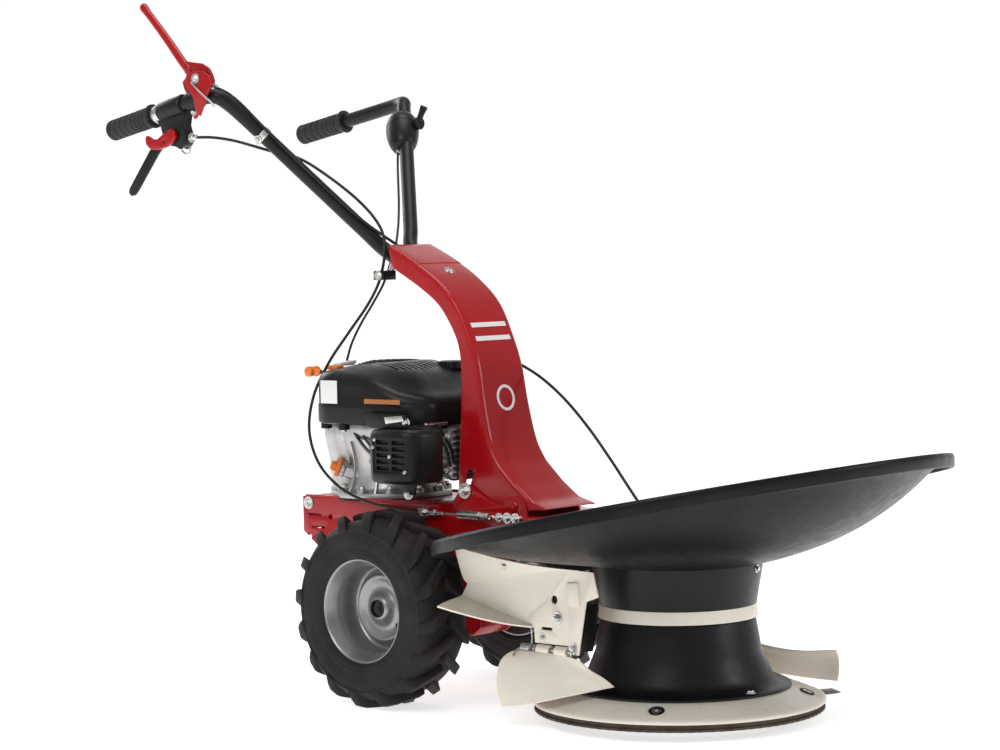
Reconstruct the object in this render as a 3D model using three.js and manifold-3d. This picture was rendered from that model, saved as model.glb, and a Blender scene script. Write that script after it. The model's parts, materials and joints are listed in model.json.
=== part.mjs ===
// Single-drum rotary brush mower: walk-behind frame, engine, drum head, guards and controls.
// Millimetres. +X is the machine's left, +Y its rear, +Z up. The origin is on the ground under the drum axis.
import * as THREE from "three";
import { mergeVertices } from "three/addons/utils/BufferGeometryUtils.js";
import Module from "manifold-3d";

const wasm = await Module();
wasm.setup();

// ---------- driving dimensions ----------
const GAP = 0.3;
const SHEET = 3;
const SIDES = [-1, 1];
const DEG = Math.PI / 180;

const WHEEL = { radius: 165, tread: 153, width: 127, x: 198, rim: 88, bore: 14, lugs: 16 };
const LUG_SLANT = 35;
const AXLE = { y: 477, z: WHEEL.radius, radius: 12.5, half: 205 };
const WORM = { wheel: 46, width: 20, radius: 13, y: 415, shaft: 9 };

const DECK = { top: 320, low: 246, high: 286, half: 105, front: 226, step: 402, rib: 718, rear: 758 };
const BEAM = { half: 57, low: 284, top: 318, front: -68 };
const ENGINE = { y: 640, plate: 334, flange: 108, half: 150, front: 437, rear: 706, shroudLow: 468,
  top: 572 };
const FUEL_CAP = { x: 62, y: 545, low: 556.4, radius: 26 };
const CRANK = { radius: 12.5, pulley: 30 };
const BELT = { traction: 262, mower: 300, height: 9, width: 8 };
const TRANSMISSION = { pulley: 62 };
const DRUM = { pulley: 44, shaft: 12.5, knives: 3, boltRadius: 200, knifeTip: 280 };
const DISC = { radius: 239, edge: 30, inner: 183, top: 54 };
const DISH = {
  radius: 427, floor: 150, z: 258, tilt: 11.6 * DEG, back: 30.6, rimZ: 360, lip: 24, wall: 4, cut: 332,
};
const CONE = { upperLow: 189.3, upperTop: 257.6, bandLow: 168.3, lowerTop: 166 };

const COLUMN = { half: 50, foot: 64.5, pivotY: 290, pivotZ: 335, clampY: 400, clampZ: 357 };
const BAR = { radius: 13, grip: 17 };
const GUARD = { x: 185, hingeX: 190, hingeZ: 124 };

// ---------- materials ----------
const paint = (color, roughness,
  metalness) => new THREE.MeshStandardMaterial({ color, roughness, metalness });
const RED = paint(0xa01a1e, 0.35, 0.2);
const CREAM = paint(0xe3dccb, 0.45, 0.1);
const BLACK = paint(0x232325, 0.5, 0.0);
const RUBBER = paint(0x262524, 0.9, 0.0);
const STEEL = paint(0x9a9b9d, 0.4, 0.8);
const RIM = paint(0x98999b, 0.45, 0.6);
const ALUMINIUM = paint(0xc3c4c6, 0.45, 0.8);
const ORANGE = paint(0xe0691e, 0.5, 0.0);
const BRASS = paint(0xa9853f, 0.4, 0.8);

// ---------- solids ----------
// A closed geometry as a manifold solid with its faces pointing out.
function solid(geometry) {
  const plain = geometry.index ? geometry.toNonIndexed() : geometry.clone();
  plain.deleteAttribute("normal");
  plain.deleteAttribute("uv");
  const merged = mergeVertices(plain, 1e-3);
  const vertProperties = new Float32Array(merged.attributes.position.array);
  const triVerts = new Uint32Array(merged.index.array);
  const made = new wasm.Manifold(new wasm.Mesh({ numProp: 3, vertProperties, triVerts }));
  if (made.volume() > 0) return made;
  for (let i = 0; i < triVerts.length; i += 3) {
    [triVerts[i + 1], triVerts[i + 2]] = [triVerts[i + 2], triVerts[i + 1]];
  }
  return new wasm.Manifold(new wasm.Mesh({ numProp: 3, vertProperties, triVerts }));
}

const join = (first, ...others) => others.reduce((all, other) => all.add(other), first);
const cut = (first, ...others) => others.reduce((all, other) => all.subtract(other), first);

function box(x0, x1, y0, y1, z0, z1) {
  const geometry = new THREE.BoxGeometry(x1 - x0, y1 - y0, z1 - z0);
  return solid(geometry.translate((x0 + x1) / 2, (y0 + y1) / 2, (z0 + z1) / 2));
}

// A round bar between two points, tapered when the end radius differs.
function rod(from, to, radius, segments = 10, endRadius = radius) {
  const a = new THREE.Vector3(...from);
  const b = new THREE.Vector3(...to);
  const along = b.clone().sub(a);
  const geometry = new THREE.CylinderGeometry(endRadius, radius, along.length(), segments);
  const turn = new THREE.Quaternion().setFromUnitVectors(new THREE.Vector3(0, 1, 0), along.normalize());
  const middle = a.add(b).multiplyScalar(0.5);
  return solid(geometry.applyQuaternion(turn).translate(middle.x, middle.y, middle.z));
}

// A profile of [radius, height] pairs turned about the Z axis; a ring's profile closes on itself.
function turned(profile, segments = 36, warp = null) {
  const points = profile.map(([r, z]) => new THREE.Vector2(r, z));
  if (profile[0][0] > 0) points.push(points[0].clone());
  const geometry = new THREE.LatheGeometry(points, segments).rotateX(Math.PI / 2);
  return solid(warp ? warped(geometry, warp) : geometry);
}

// The geometry with each vertex moved by the function.
function warped(geometry, move) {
  const place = geometry.attributes.position;
  const vertex = new THREE.Vector3();
  for (let i = 0; i < place.count; i += 1) {
    vertex.fromBufferAttribute(place, i);
    move(vertex);
    place.setXYZ(i, vertex.x, vertex.y, vertex.z);
  }
  return geometry;
}

const outline = (points) => new THREE.Shape(points.map(([u, v]) => new THREE.Vector2(u, v)));

// An outline in X and Y, raised along Z.
function raised(points, z0, z1) {
  const geometry = new THREE.ExtrudeGeometry(outline(points), { depth: z1 - z0, bevelEnabled: false });
  return solid(geometry.translate(0, 0, z0));
}

// An outline in Y and Z, run along X.
function across(points, x0, x1) {
  const geometry = new THREE.ExtrudeGeometry(outline(points), { depth: x1 - x0, bevelEnabled: false });
  return solid(geometry.rotateY(Math.PI / 2).rotateX(Math.PI / 2).translate(x0, 0, 0));
}

const circle = (radius, count) =>
  Array.from({ length: count }, (_, i) => {
    const angle = (2 * Math.PI * i) / count;
    return [radius * Math.cos(angle), radius * Math.sin(angle)];
  });

// A round tube that follows a smooth curve through the points.
function tube(points, radius, sides, steps) {
  const path = new THREE.CatmullRomCurve3(points.map((p) => new THREE.Vector3(...p)), false, "centripetal");
  const section = outline(circle(radius, sides));
  return solid(new THREE.ExtrudeGeometry(section, { steps, extrudePath: path, bevelEnabled: false }));
}

// A bent sheet through a grid of points, as thick as stated, closed round its edge.
function sheet(rows, thickness) {
  const grid = rows.map((row) => row.map((p) => new THREE.Vector3(...p)));
  const height = grid.length;
  const width = grid[0].length;
  const at = (i, j) => grid[Math.min(Math.max(i, 0), height - 1)][Math.min(Math.max(j, 0), width - 1)];
  const vertices = [];
  for (const side of [0, 1]) {
    for (let i = 0; i < height; i += 1) {
      for (let j = 0; j < width; j += 1) {
        const down = at(i + 1, j).clone().sub(at(i - 1, j));
        const right = at(i, j + 1).clone().sub(at(i, j - 1));
        const normal = down.cross(right).normalize();
        vertices.push(...at(i, j).clone().addScaledVector(normal, side * thickness));
      }
    }
  }
  const index = [];
  const id = (side, i, j) => side * height * width + i * width + j;
  const quad = (a, b, c, d) => index.push(a, b, c, a, c, d);
  for (let i = 0; i < height - 1; i += 1) {
    for (let j = 0; j < width - 1; j += 1) {
      quad(id(0, i, j), id(0, i, j + 1), id(0, i + 1, j + 1), id(0, i + 1, j));
      quad(id(1, i, j), id(1, i + 1, j), id(1, i + 1, j + 1), id(1, i, j + 1));
    }
  }
  for (let j = 0; j < width - 1; j += 1) {
    quad(id(0, 0, j + 1), id(0, 0, j), id(1, 0, j), id(1, 0, j + 1));
    quad(id(0, height - 1, j), id(0, height - 1, j + 1), id(1, height - 1, j + 1), id(1, height - 1, j));
  }
  for (let i = 0; i < height - 1; i += 1) {
    quad(id(0, i, 0), id(0, i + 1, 0), id(1, i + 1, 0), id(1, i, 0));
    quad(id(0, i + 1, width - 1), id(0, i, width - 1), id(1, i, width - 1), id(1, i + 1, width - 1));
  }
  const geometry = new THREE.BufferGeometry();
  geometry.setAttribute("position", new THREE.Float32BufferAttribute(vertices, 3));
  return solid(geometry.setIndex(index));
}

// A solid as a named mesh.
function piece(name, body, material) {
  const mesh = body.getMesh();
  const geometry = new THREE.BufferGeometry();
  geometry.setAttribute("position", new THREE.BufferAttribute(new Float32Array(mesh.vertProperties), 3));
  geometry.setIndex(new THREE.BufferAttribute(new Uint32Array(mesh.triVerts), 1));
  const flat = geometry.toNonIndexed();
  flat.computeVertexNormals();
  const made = new THREE.Mesh(flat, material);
  made.name = name;
  return made;
}

function group(position, ...children) {
  const made = new THREE.Group();
  made.position.set(...position);
  made.add(...children);
  return made;
}

const mirrored = (points, side) => points.map(([x, y, z]) => [side * x, y, z]);
const sideName = (side) => (side < 0 ? "right" : "left");

// ---------- wheels, axle and gearbox ----------
// The tyre's section, turned about Z and then laid along X, with chevron lugs joined on.
function tyre(side) {
  const w = WHEEL.width / 2;
  const r = WHEEL.tread;
  const section = [
    [WHEEL.rim + 1, -w + 9], [104, -w + 1], [122, -w], [142, -w + 5], [r - 1, -w + 16], [r, 0],
    [r - 1, w - 16], [142, w - 5], [122, w], [104, w - 1], [WHEEL.rim + 1, w - 9],
  ];
  let body = turned(section, 24).rotate([0, 90, 0]);
  const turn = 360 / (2 * WHEEL.lugs);
  for (let i = 0; i < 2 * WHEEL.lugs; i += 1) {
    const hand = i % 2 ? 1 : -1;
    const lug = box(-30, 30, -7, 7, 140, WHEEL.radius).rotate([0, 0, -hand * LUG_SLANT]);
    body = body.add(lug.translate([hand * 28, 0, 0]).rotate([i * turn, 0, 0]));
  }
  const round = rod([-w, 0, 0], [w, 0, 0], WHEEL.radius, 24);
  return piece("tyre_" + sideName(side), body.intersect(round), RUBBER);
}

// A one-piece dished rim with a hub tube; the dish faces outward.
function rim(side) {
  const r = WHEEL.rim;
  const section = [
    [WHEEL.bore, -30], [26, -30], [26, -6], [52, 0], [60, -12], [r - 6, -16], [r - 6, -44],
    [r - 2, -50], [r, -50], [r, 50], [r - 2, 50], [r - 6, 43], [r - 6, -10], [62, -5], [54, 7], [26, 2],
    [26, 24], [WHEEL.bore, 24],
  ];
  const body = turned(section, 20).rotate([0, side * 90, 0]);
  return piece("wheel_rim_" + sideName(side), body, RIM);
}

function wheel(side) {
  return group([side * WHEEL.x, 0, 0], tyre(side), rim(side));
}

function axleShaft() {
  const body = rod([-AXLE.half, 0, 0], [AXLE.half, 0, 0], AXLE.radius, 12);
  return piece("axle_shaft", body, STEEL);
}

function wormWheel() {
  const half = WORM.width / 2;
  const hub = AXLE.radius + 0.4;
  const section = [[hub, -half], [WORM.wheel, -half], [WORM.wheel, half], [hub, half]];
  return piece("worm_wheel", turned(section, 30).rotate([0, 90, 0]), BRASS);
}

function runningGear() {
  const parts = SIDES.map(wheel);
  return group([0, AXLE.y, AXLE.z], ...parts, axleShaft(), wormWheel());
}

// The gearbox's outline from the side, chamfered along its lower edges and its rear top edge.
const gearboxSide = (y0, y1) => [
  [y0, 120], [y0 + 20, 104], [y1 - 26, 104], [y1, 128], [y1, 222], [y1 - 20, 245.7], [y0, 245.7],
];

function gearboxHousing() {
  const y0 = WORM.y - 24;
  const y1 = AXLE.y + 62;
  const hollow = [
    [y0 + 8, 124], [y0 + 24, 110], [y1 - 30, 110], [y1 - 8, 131], [y1 - 8, 219], [y1 - 23, 232],
    [y0 + 8, 232],
  ];
  const shell = cut(
    across(gearboxSide(y0, y1), -46, 38),
    across(hollow, -38, 39),
    rod([-50, AXLE.y, AXLE.z], [0, AXLE.y, AXLE.z], AXLE.radius + 1, 14),
    rod([0, WORM.y, 225], [0, WORM.y, 250], WORM.shaft + 1, 12),
  );
  const neck = cut(
    rod([-62, AXLE.y, AXLE.z], [-45, AXLE.y, AXLE.z], 32, 14),
    rod([-70, AXLE.y, AXLE.z], [-40, AXLE.y, AXLE.z], AXLE.radius + 1, 14),
  );
  return piece("gearbox_housing", join(shell, neck), RED);
}

function gearboxCover() {
  const y0 = WORM.y - 24;
  const y1 = AXLE.y + 62;
  const plate = across(gearboxSide(y0, y1), 38.3, 46);
  const neck = rod([45, AXLE.y, AXLE.z], [62, AXLE.y, AXLE.z], 32, 14);
  const bore = rod([30, AXLE.y, AXLE.z], [70, AXLE.y, AXLE.z], AXLE.radius + 1, 14);
  return piece("gearbox_cover", cut(join(plate, neck), bore), RED);
}

function wormShaft() {
  const body = join(
    rod([0, WORM.y, 126], [0, WORM.y, 278], WORM.shaft, 12),
    rod([0, WORM.y, AXLE.z - 26], [0, WORM.y, AXLE.z + 26], WORM.radius, 12),
  );
  return piece("worm_shaft", body, STEEL);
}

// A pulley with one belt groove for each [radius, z] pair, stacked upwards on one hub.
function pulley(name, bore, grooves) {
  const half = BELT.height / 2 + 0.5;
  const flank = half + 1.6;
  const section = [[bore, grooves[0][1] - flank]];
  for (const [radius, z] of grooves) {
    const floor = radius - BELT.width - 1;
    section.push([radius, z - flank], [radius, z - half], [floor, z - half], [floor, z + half]);
    section.push([radius, z + half], [radius, z + flank], [bore + 8, z + flank]);
    if (z !== grooves.at(-1)[1]) section.push([bore + 8, z + flank + 10]);
  }
  section.push([bore, grooves.at(-1)[1] + flank]);
  return piece(name, turned(section, 14), STEEL);
}

function transmissionPulley() {
  const grooves = [[TRANSMISSION.pulley, BELT.traction]];
  return group([0, WORM.y, 0], pulley("transmission_pulley", WORM.shaft + 0.4, grooves));
}

function crankPulley() {
  const grooves = [[CRANK.pulley, BELT.traction], [CRANK.pulley + 8, BELT.mower]];
  return group([0, ENGINE.y, 0], pulley("crank_pulley", CRANK.radius + 0.4, grooves));
}

// A belt round two pulleys on the Y axis, outside their grooves' floors.
function belt(name, near, far, z) {
  const lean = Math.asin((near.r - far.r) / (far.y - near.y));
  const arc = (end, grow, from, to) =>
    Array.from({ length: 12 }, (_, i) => {
      const angle = from + ((to - from) * i) / 11;
      return [(end.r + grow) * Math.cos(angle), end.y + (end.r + grow) * Math.sin(angle)];
    });
  const loop = (grow) => [
    ...arc(near, grow, Math.PI - lean, 2 * Math.PI + lean),
    ...arc(far, grow, lean, Math.PI - lean),
  ];
  const half = BELT.height / 2;
  const inside = raised(loop(0), z - half - 1, z + half + 1);
  return piece(name, cut(raised(loop(BELT.width), z - half, z + half), inside), RUBBER);
}

// ---------- chassis ----------
function deckSide(side) {
  const x0 = side * DECK.half;
  const x1 = side * (DECK.half - SHEET);
  const points = [
    [DECK.front, DECK.top], [DECK.front, DECK.high], [DECK.step, DECK.high], [DECK.step + 30, DECK.low],
    [DECK.rear - 36, DECK.low], [DECK.rear, DECK.high - 14], [DECK.rear, DECK.top + 12],
    [ENGINE.front + 6, DECK.top + 12], [ENGINE.front - 12, DECK.top],
  ];
  return across(points, Math.min(x0, x1), Math.max(x0, x1));
}

// A plate ear beside the column foot, round over the pivot and rising to the clamp bolt.
function ear(side) {
  const inner = side * (COLUMN.foot + 0.7);
  const outer = side * (COLUMN.foot + 4.7);
  const arch = [];
  for (let i = 0; i <= 6; i += 1) {
    const angle = (Math.PI * i) / 6;
    arch.push([COLUMN.pivotY - 24 * Math.cos(angle), COLUMN.pivotZ + 18 * Math.sin(angle)]);
  }
  const points = [
    [COLUMN.pivotY - 30, DECK.top - 1], ...arch, [COLUMN.pivotY + 60, 345],
    [COLUMN.clampY - 12, COLUMN.clampZ + 10], [COLUMN.clampY + 4, COLUMN.clampZ + 12],
    [COLUMN.clampY + 13, COLUMN.clampZ], [COLUMN.clampY + 44, DECK.top - 1],
  ];
  return across(points, Math.min(inner, outer), Math.max(inner, outer));
}

function chassis() {
  const half = DECK.half;
  const plateTop = ENGINE.plate - GAP;
  const deck = box(-half, half, DECK.front, ENGINE.front, DECK.top - SHEET, DECK.top);
  const enginePlate = box(-half, half, ENGINE.front - 2, DECK.rear, plateTop - SHEET - 1, plateTop);
  const riser = box(-half, half, ENGINE.front - 4, ENGINE.front, DECK.top - SHEET, plateTop);
  const rear = box(-half, half, DECK.rear - SHEET, DECK.rear, DECK.high - 12, plateTop);
  const hanger = join(
    box(-half + 1, half - 1, WORM.y - 26, WORM.y + 110, DECK.low, DECK.low + SHEET),
    box(-half + 1, half - 1, DECK.rib, DECK.rib + SHEET, DECK.low, plateTop - 2),
  );
  const beamTop = box(-BEAM.half, BEAM.half, BEAM.front, DECK.front + 20, BEAM.top - SHEET, BEAM.top);
  const beamSides = SIDES.map((s) =>
    box(s < 0 ? -BEAM.half : BEAM.half - SHEET, s < 0 ? -BEAM.half + SHEET : BEAM.half,
      BEAM.front, DECK.front + 60, BEAM.low, BEAM.top));
  const beamEnd = box(-BEAM.half, BEAM.half, BEAM.front, BEAM.front + SHEET, BEAM.low - 8, BEAM.top);
  const headPlate = box(-BEAM.half, BEAM.half, BEAM.front, 70, BEAM.low - 8, BEAM.low - 3);
  const headSides = SIDES.map((s) =>
    box(s < 0 ? -BEAM.half : BEAM.half - SHEET, s < 0 ? -BEAM.half + SHEET : BEAM.half, BEAM.front, 70,
      BEAM.low - 8, BEAM.low + 1));
  const face = COLUMN.foot + 11;
  const pivotPin = rod([-face, COLUMN.pivotY, COLUMN.pivotZ], [face, COLUMN.pivotY, COLUMN.pivotZ], 5, 10);
  const body = join(
    deck, enginePlate, riser, rear, hanger, beamTop, ...beamSides, beamEnd, headPlate, ...headSides,
    ...SIDES.map(deckSide), ...SIDES.map(ear), pivotPin,
  );
  return piece("chassis", cut(
    body,
    rod([0, ENGINE.y, 300], [0, ENGINE.y, 340], 40, 16),
    rod([0, WORM.y, 240], [0, WORM.y, 255], WORM.shaft + 2, 12),
    rod([0, 0, 270], [0, 0, 285], 39, 16),
    rod([-90, COLUMN.clampY, COLUMN.clampZ], [90, COLUMN.clampY, COLUMN.clampZ], 5.4, 10),
    box(18.5, 29.5, 85, 96, BEAM.top - 6, BEAM.top + 1),
    rod([-20, 140, BEAM.top - 6], [-20, 140, BEAM.top + 2], 5.4, 10),
  ), RED);
}

// The bolt across the column foot, with a flanged head and a nut outside the ears.
function clampBolt() {
  const y = COLUMN.clampY;
  const z = COLUMN.clampZ;
  const face = COLUMN.foot + 5;
  const body = join(
    rod([-face - 9, y, z], [face + 9, y, z], 5, 10),
    rod([-face - 2.5, y, z], [-face, y, z], 10.5, 12),
    rod([-face - 9, y, z], [-face - 2, y, z], 8, 6),
    rod([face, y, z], [face + 8, y, z], 8, 6),
  );
  return piece("column_clamp_bolt", body, STEEL);
}

// ---------- drum head ----------
// The share of the dish's tilt at a radius: none over the flat floor, all at the rim.
function dishShare(radius) {
  return THREE.MathUtils.clamp((radius - DISH.floor) / (DISH.radius - DISH.floor), 0, 1);
}

function tiltDish(vertex) {
  const share = dishShare(Math.hypot(vertex.x, vertex.y));
  vertex.z -= share * vertex.y * Math.sin(DISH.tilt);
  vertex.y = vertex.y * (1 - share * (1 - Math.cos(DISH.tilt))) - share * DISH.back;
}

function dish() {
  const depth = DISH.rimZ - DISH.z;
  const wall = DISH.wall;
  const rings = 5;
  const rise = (share) => depth * (0.42 * share + 0.58 * share ** 3);
  const span = DISH.radius - 14 - DISH.floor;
  const under = [];
  const inside = [];
  for (let i = 0; i <= rings; i += 1) {
    const share = i / rings;
    const radius = DISH.floor + span * share;
    under.push([radius, DISH.z + rise(share) - (i === rings ? 2 * wall : 0)]);
    inside.unshift([radius, DISH.z + wall + rise(share) - (i === rings ? wall : 0)]);
  }
  const rim = [
    [DISH.radius - 5, DISH.rimZ - DISH.lip], [DISH.radius, DISH.rimZ - DISH.lip],
    [DISH.radius, DISH.rimZ - 8], [DISH.radius - 5, DISH.rimZ], [DISH.radius - 11, DISH.rimZ],
  ];
  const section = [[52, DISH.z], ...under, ...rim, ...inside, [52, DISH.z + wall]];
  const rear = box(-262, 262, DISH.cut, 500, 200, 400);
  return piece("guard_dish", cut(turned(section, 32, tiltDish), rear), BLACK);
}

function headHousing() {
  const section = [
    [16, 176], [36, 176], [36, DISH.z + 4.6], [72, DISH.z + 4.6], [72, BEAM.low - 8.4],
    [16, BEAM.low - 8.4],
  ];
  return piece("head_bearing_housing", turned(section, 16), STEEL);
}

function upperCone() {
  const section = [
    [125, CONE.upperLow], [128, CONE.upperLow], [140, CONE.upperTop], [60, CONE.upperTop],
    [60, CONE.upperTop - SHEET], [136.4, CONE.upperTop - SHEET],
  ];
  return piece("upper_cone", turned(section, 24), BLACK);
}

function drumBand() {
  const top = CONE.upperLow - GAP;
  const section = [
    [128, CONE.bandLow], [131, CONE.bandLow], [128, top], [37, top], [37, top - SHEET], [125, top - SHEET],
  ];
  return piece("drum_band", turned(section, 24), CREAM);
}

function drumCone() {
  const top = CONE.lowerTop;
  const section = [
    [DISC.inner - 3, DISC.top + 0.4], [DISC.inner, DISC.top + 0.4], [DISC.inner - 1, DISC.top + 4],
    [161, 63], [150, 78], [135, 112], [126, top], [20, top], [20, top - 6], [122, top - 6], [131, 110],
    [146, 76], [157, 61],
  ];
  return piece("drum_cone", turned(section, 24), BLACK);
}

// At rest the first knife is folded back under the disc, and the others stand straight out.
const KNIFE_REST = [90, 0, 0];
const knifeAngle = (i) => (-152 + (360 / DRUM.knives) * i) * DEG;

function onDisc(i, z) {
  return [DRUM.boltRadius * Math.cos(knifeAngle(i)), DRUM.boltRadius * Math.sin(knifeAngle(i)), z];
}

// The cream ring with the knife bolts under it, one solid with the bolts' shanks.
function cuttingDisc() {
  const section = [
    [20, DISC.top - 4], [DISC.inner, DISC.top - 4], [DISC.radius - 2, DISC.edge - 1],
    [DISC.radius, DISC.edge],
    [DISC.radius - 2, DISC.edge + 4], [DISC.inner, DISC.top], [20, DISC.top],
  ];
  let body = turned(section, 28);
  for (let i = 0; i < DRUM.knives; i += 1) {
    body = body.add(rod(onDisc(i, 21.6), onDisc(i, 48), 6, 12));
  }
  return piece("cutting_disc", body, CREAM);
}

function knifeDisc() {
  const section = [[20, 17], [236, 17], [237, 19], [236, 21], [20, 21]];
  return piece("knife_disc", turned(section, 28), STEEL);
}

function knife(i) {
  const reach = DRUM.knifeTip - DRUM.boltRadius;
  const blade = raised([[-16, -18], [reach - 12, -22], [reach, -14], [reach, 22], [-8, 20], [-18, 8]],
    -2, 2);
  const hole = rod([0, 0, -5], [0, 0, 5], 7, 10);
  const made = piece("knife_" + (i + 1), cut(blade, hole), STEEL);
  made.position.set(...onDisc(i, 25));
  made.rotation.z = knifeAngle(i) + KNIFE_REST[i] * DEG;
  return made;
}

function drumShaft() {
  const body = join(rod([0, 0, 16.6], [0, 0, 314], DRUM.shaft, 12), rod([0, 0, 22], [0, 0, 49], 19, 12));
  return piece("drum_shaft", body, STEEL);
}

function skidSaucer() {
  const section = [
    [0, 0], [100, 0], [140, 5], [172, 13], [170, 15.5], [138, 8.5], [99, 4], [16, 4], [16, 15], [0, 15],
  ];
  return piece("skid_saucer", turned(section, 24), STEEL);
}

function idlerArm() {
  const low = BEAM.top + 0.6;
  const body = join(
    raised([[-28, 130], [18, 74], [28, 74], [32, 84], [-12, 150], [-28, 150]], low, low + 4),
    rod([-20, 140, 308], [-20, 140, BEAM.top + 9], 5, 10),
    rod([23, 90, 294], [23, 90, BEAM.top + 2], 3, 12),
    raised([[18, 74], [28, 74], [58, 92], [52, 100]], low, low + 4),
  );
  return piece("mower_idler_arm", body, STEEL);
}

function idlerPulley() {
  const section = [[3.4, 295], [10, 295], [10, 305], [3.4, 305]];
  return piece("mower_idler_pulley", turned(section, 12).translate([23, 90, 0]), STEEL);
}

// ---------- guards and deflectors ----------
// The side panel in front of a tyre, with its flared wing and the flange under the dish.
function sideGuard(side) {
  const x = GUARD.x;
  const panel = across(
    [[300, 256], [290, 219], [302, 198], [150, 160], [146, 133], [60, 133], [18, 252], [60, 254]],
    Math.min(side * x, side * (x - SHEET)), Math.max(side * x, side * (x - SHEET)),
  );
  const wing = sheet([
    mirrored([[x - 2, 301, 200], [x - 2, 225, 181], [x - 2, 152, 163]], side),
    mirrored([[x + 83, 296, 190], [x + 50, 215, 172], [x + 12, 150, 158]], side),
  ], side < 0 ? -SHEET : SHEET);
  const flange = box(side < 0 ? -x + 1 : 150, side < 0 ? -150 : x - 1, 60, 130, 250, 253);
  const onHinge = (y) => [side * GUARD.hingeX, y, GUARD.hingeZ];
  const hinge = rod(onHinge(66), onHinge(146), 3, 12);
  const [tabLow, tabHigh] = [side * (x - 2), side * (GUARD.hingeX + 2)].sort((a, b) => a - b);
  const tabs = [66, 142].map((y) => box(tabLow, tabHigh, y, y + 4, GUARD.hingeZ - 4, 140));
  return piece("guard_" + sideName(side), join(panel, wing, flange, hinge, ...tabs), CREAM);
}

// The curved sheets that hang from the guards' hinge pins. The left one also reaches forward past the drum.
const DEFLECTOR_ROWS = {
  right: [
    [[193, 142, 118], [193, 105, 118], [192, 72, 118]],
    [[206, 176, 112], [198, 100, 112], [186, 40, 106]],
    [[234, 182, 74], [216, 96, 82], [180, 12, 88]],
    [[250, 166, 36], [236, 80, 50], [176, -2, 76]],
  ],
  left: [
    [[193, 142, 118], [193, 105, 118], [193, 72, 118], [214, 10, 96], [240, -60, 84], [261, -130, 88]],
    [[215, 172, 100], [212, 110, 100], [212, 62, 98], [230, 0, 80], [250, -65, 70], [266, -131, 74]],
    [[235, 180, 70], [232, 118, 70], [234, 62, 68], [244, 0, 60], [257, -66, 52], [267, -131, 55]],
    [[250, 168, 36], [246, 112, 40], [246, 60, 42], [252, 0, 40], [261, -64, 36], [266, -128, 35]],
  ],
};

function swathDeflector(side) {
  const rows = DEFLECTOR_ROWS[sideName(side)].map((row) => mirrored(row, side));
  const plate = sheet(rows, side < 0 ? 2.5 : -2.5);
  const hinge = (y) => [side * GUARD.hingeX, y, GUARD.hingeZ];
  const body = cut(join(plate, rod(hinge(72), hinge(140), 8, 10)), rod(hinge(60), hinge(150), 4, 10));
  return piece("swath_deflector_" + sideName(side), body, CREAM);
}

// ---------- engine ----------
function crankcase() {
  const plate = ENGINE.plate;
  const section = [
    [0, plate], [ENGINE.flange, plate], [ENGINE.flange, plate + 10], [92, plate + 18], [84, 400], [97, 440],
    [97, 467], [0, 467],
  ];
  const flange = turned(section, 32);
  const cylinder = box(-52, 52, ENGINE.front + 20 - ENGINE.y, -40, 372, 466);
  const bore = rod([0, 0, plate - 2], [0, 0, plate + 60], CRANK.radius + 1, 14);
  const filler = rod([-44, 616 - ENGINE.y, 356], [-97, 670 - ENGINE.y, 386], 12, 12);
  const body = cut(join(flange, cylinder, filler), bore);
  return piece("crankcase", body.translate([0, ENGINE.y, 0]), ALUMINIUM);
}

function cylinderHead() {
  const y = ENGINE.front;
  const fins = [0, 1, 2, 3].map((i) => box(-50, 50, y + 2, y + 12, 380 + 22 * i, 386 + 22 * i));
  const body = join(box(-50, 50, y + 8, y + 19.7, 372, 462), ...fins);
  return piece("cylinder_head", body, ALUMINIUM);
}

function sparkPlug() {
  const y = ENGINE.front;
  const body = rod([0, y + 7.7, 438], [0, y - 6, 438], 7, 12);
  return piece("spark_plug_cap", body, BLACK);
}

// The shroud's plan, wide over the flywheel with round corners.
function shroudPlan(inset) {
  const w = ENGINE.half - inset;
  const front = ENGINE.front + 12 + inset;
  const rear = ENGINE.rear - inset;
  const shape = [];
  const corner = (cx, cy, r, start) => {
    for (let i = 0; i <= 5; i += 1) {
      const angle = (start + 18 * i) * DEG;
      shape.push([cx + r * Math.cos(angle), cy + r * Math.sin(angle)]);
    }
  };
  corner(-w + 80, front + 50, 50, 225);
  corner(w - 60, front + 45, 45, 270);
  corner(w - 62, rear - 62, 62, 0);
  corner(-w + 62, rear - 62, 62, 90);
  shape.push([-w, 520]);
  return shape;
}

function blowerShroud() {
  const low = ENGINE.shroudLow;
  const body = join(
    raised(shroudPlan(0), low, 545),
    raised(shroudPlan(10), 540, 560),
    raised(shroudPlan(32), 556, ENGINE.top),
  );
  const { x, y, radius } = FUEL_CAP;
  const recess = rod([x, y, FUEL_CAP.low - 0.5], [x, y, ENGINE.top + 1], radius + 1, 14);
  return piece("blower_shroud", cut(body, recess), BLACK);
}

function airFilterCover() {
  const body = box(88, 146, ENGINE.front + 4, ENGINE.front + 76, 385, 462);
  return piece("air_filter_cover", body, BLACK);
}

function fuelCap() {
  const { x, y, low, radius } = FUEL_CAP;
  const section = [[0, low], [radius, low], [radius, low + 13], [radius - 2, low + 15], [0, low + 15]];
  return piece("fuel_cap", turned(section, 14).translate([x, y, 0]), BLACK);
}

function mufflerGuard() {
  const front = 410;
  const rear = front + 104;
  const plan = [
    [-112, front], [-156, front], [-176, front + 8], [-187, front + 22], [-190, front + 40],
    [-190, rear], [-112, rear],
  ];
  let shell = raised(plan, 375, 465);
  for (const y of [front + 14, front + 56]) {
    for (let row = 0; row < 5; row += 1) {
      shell = shell.subtract(box(-195, -184, y + 2, y + 34, 397 + 12 * row, 403 + 12 * row));
    }
  }
  return piece("muffler_guard", shell, BLACK);
}

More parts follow.
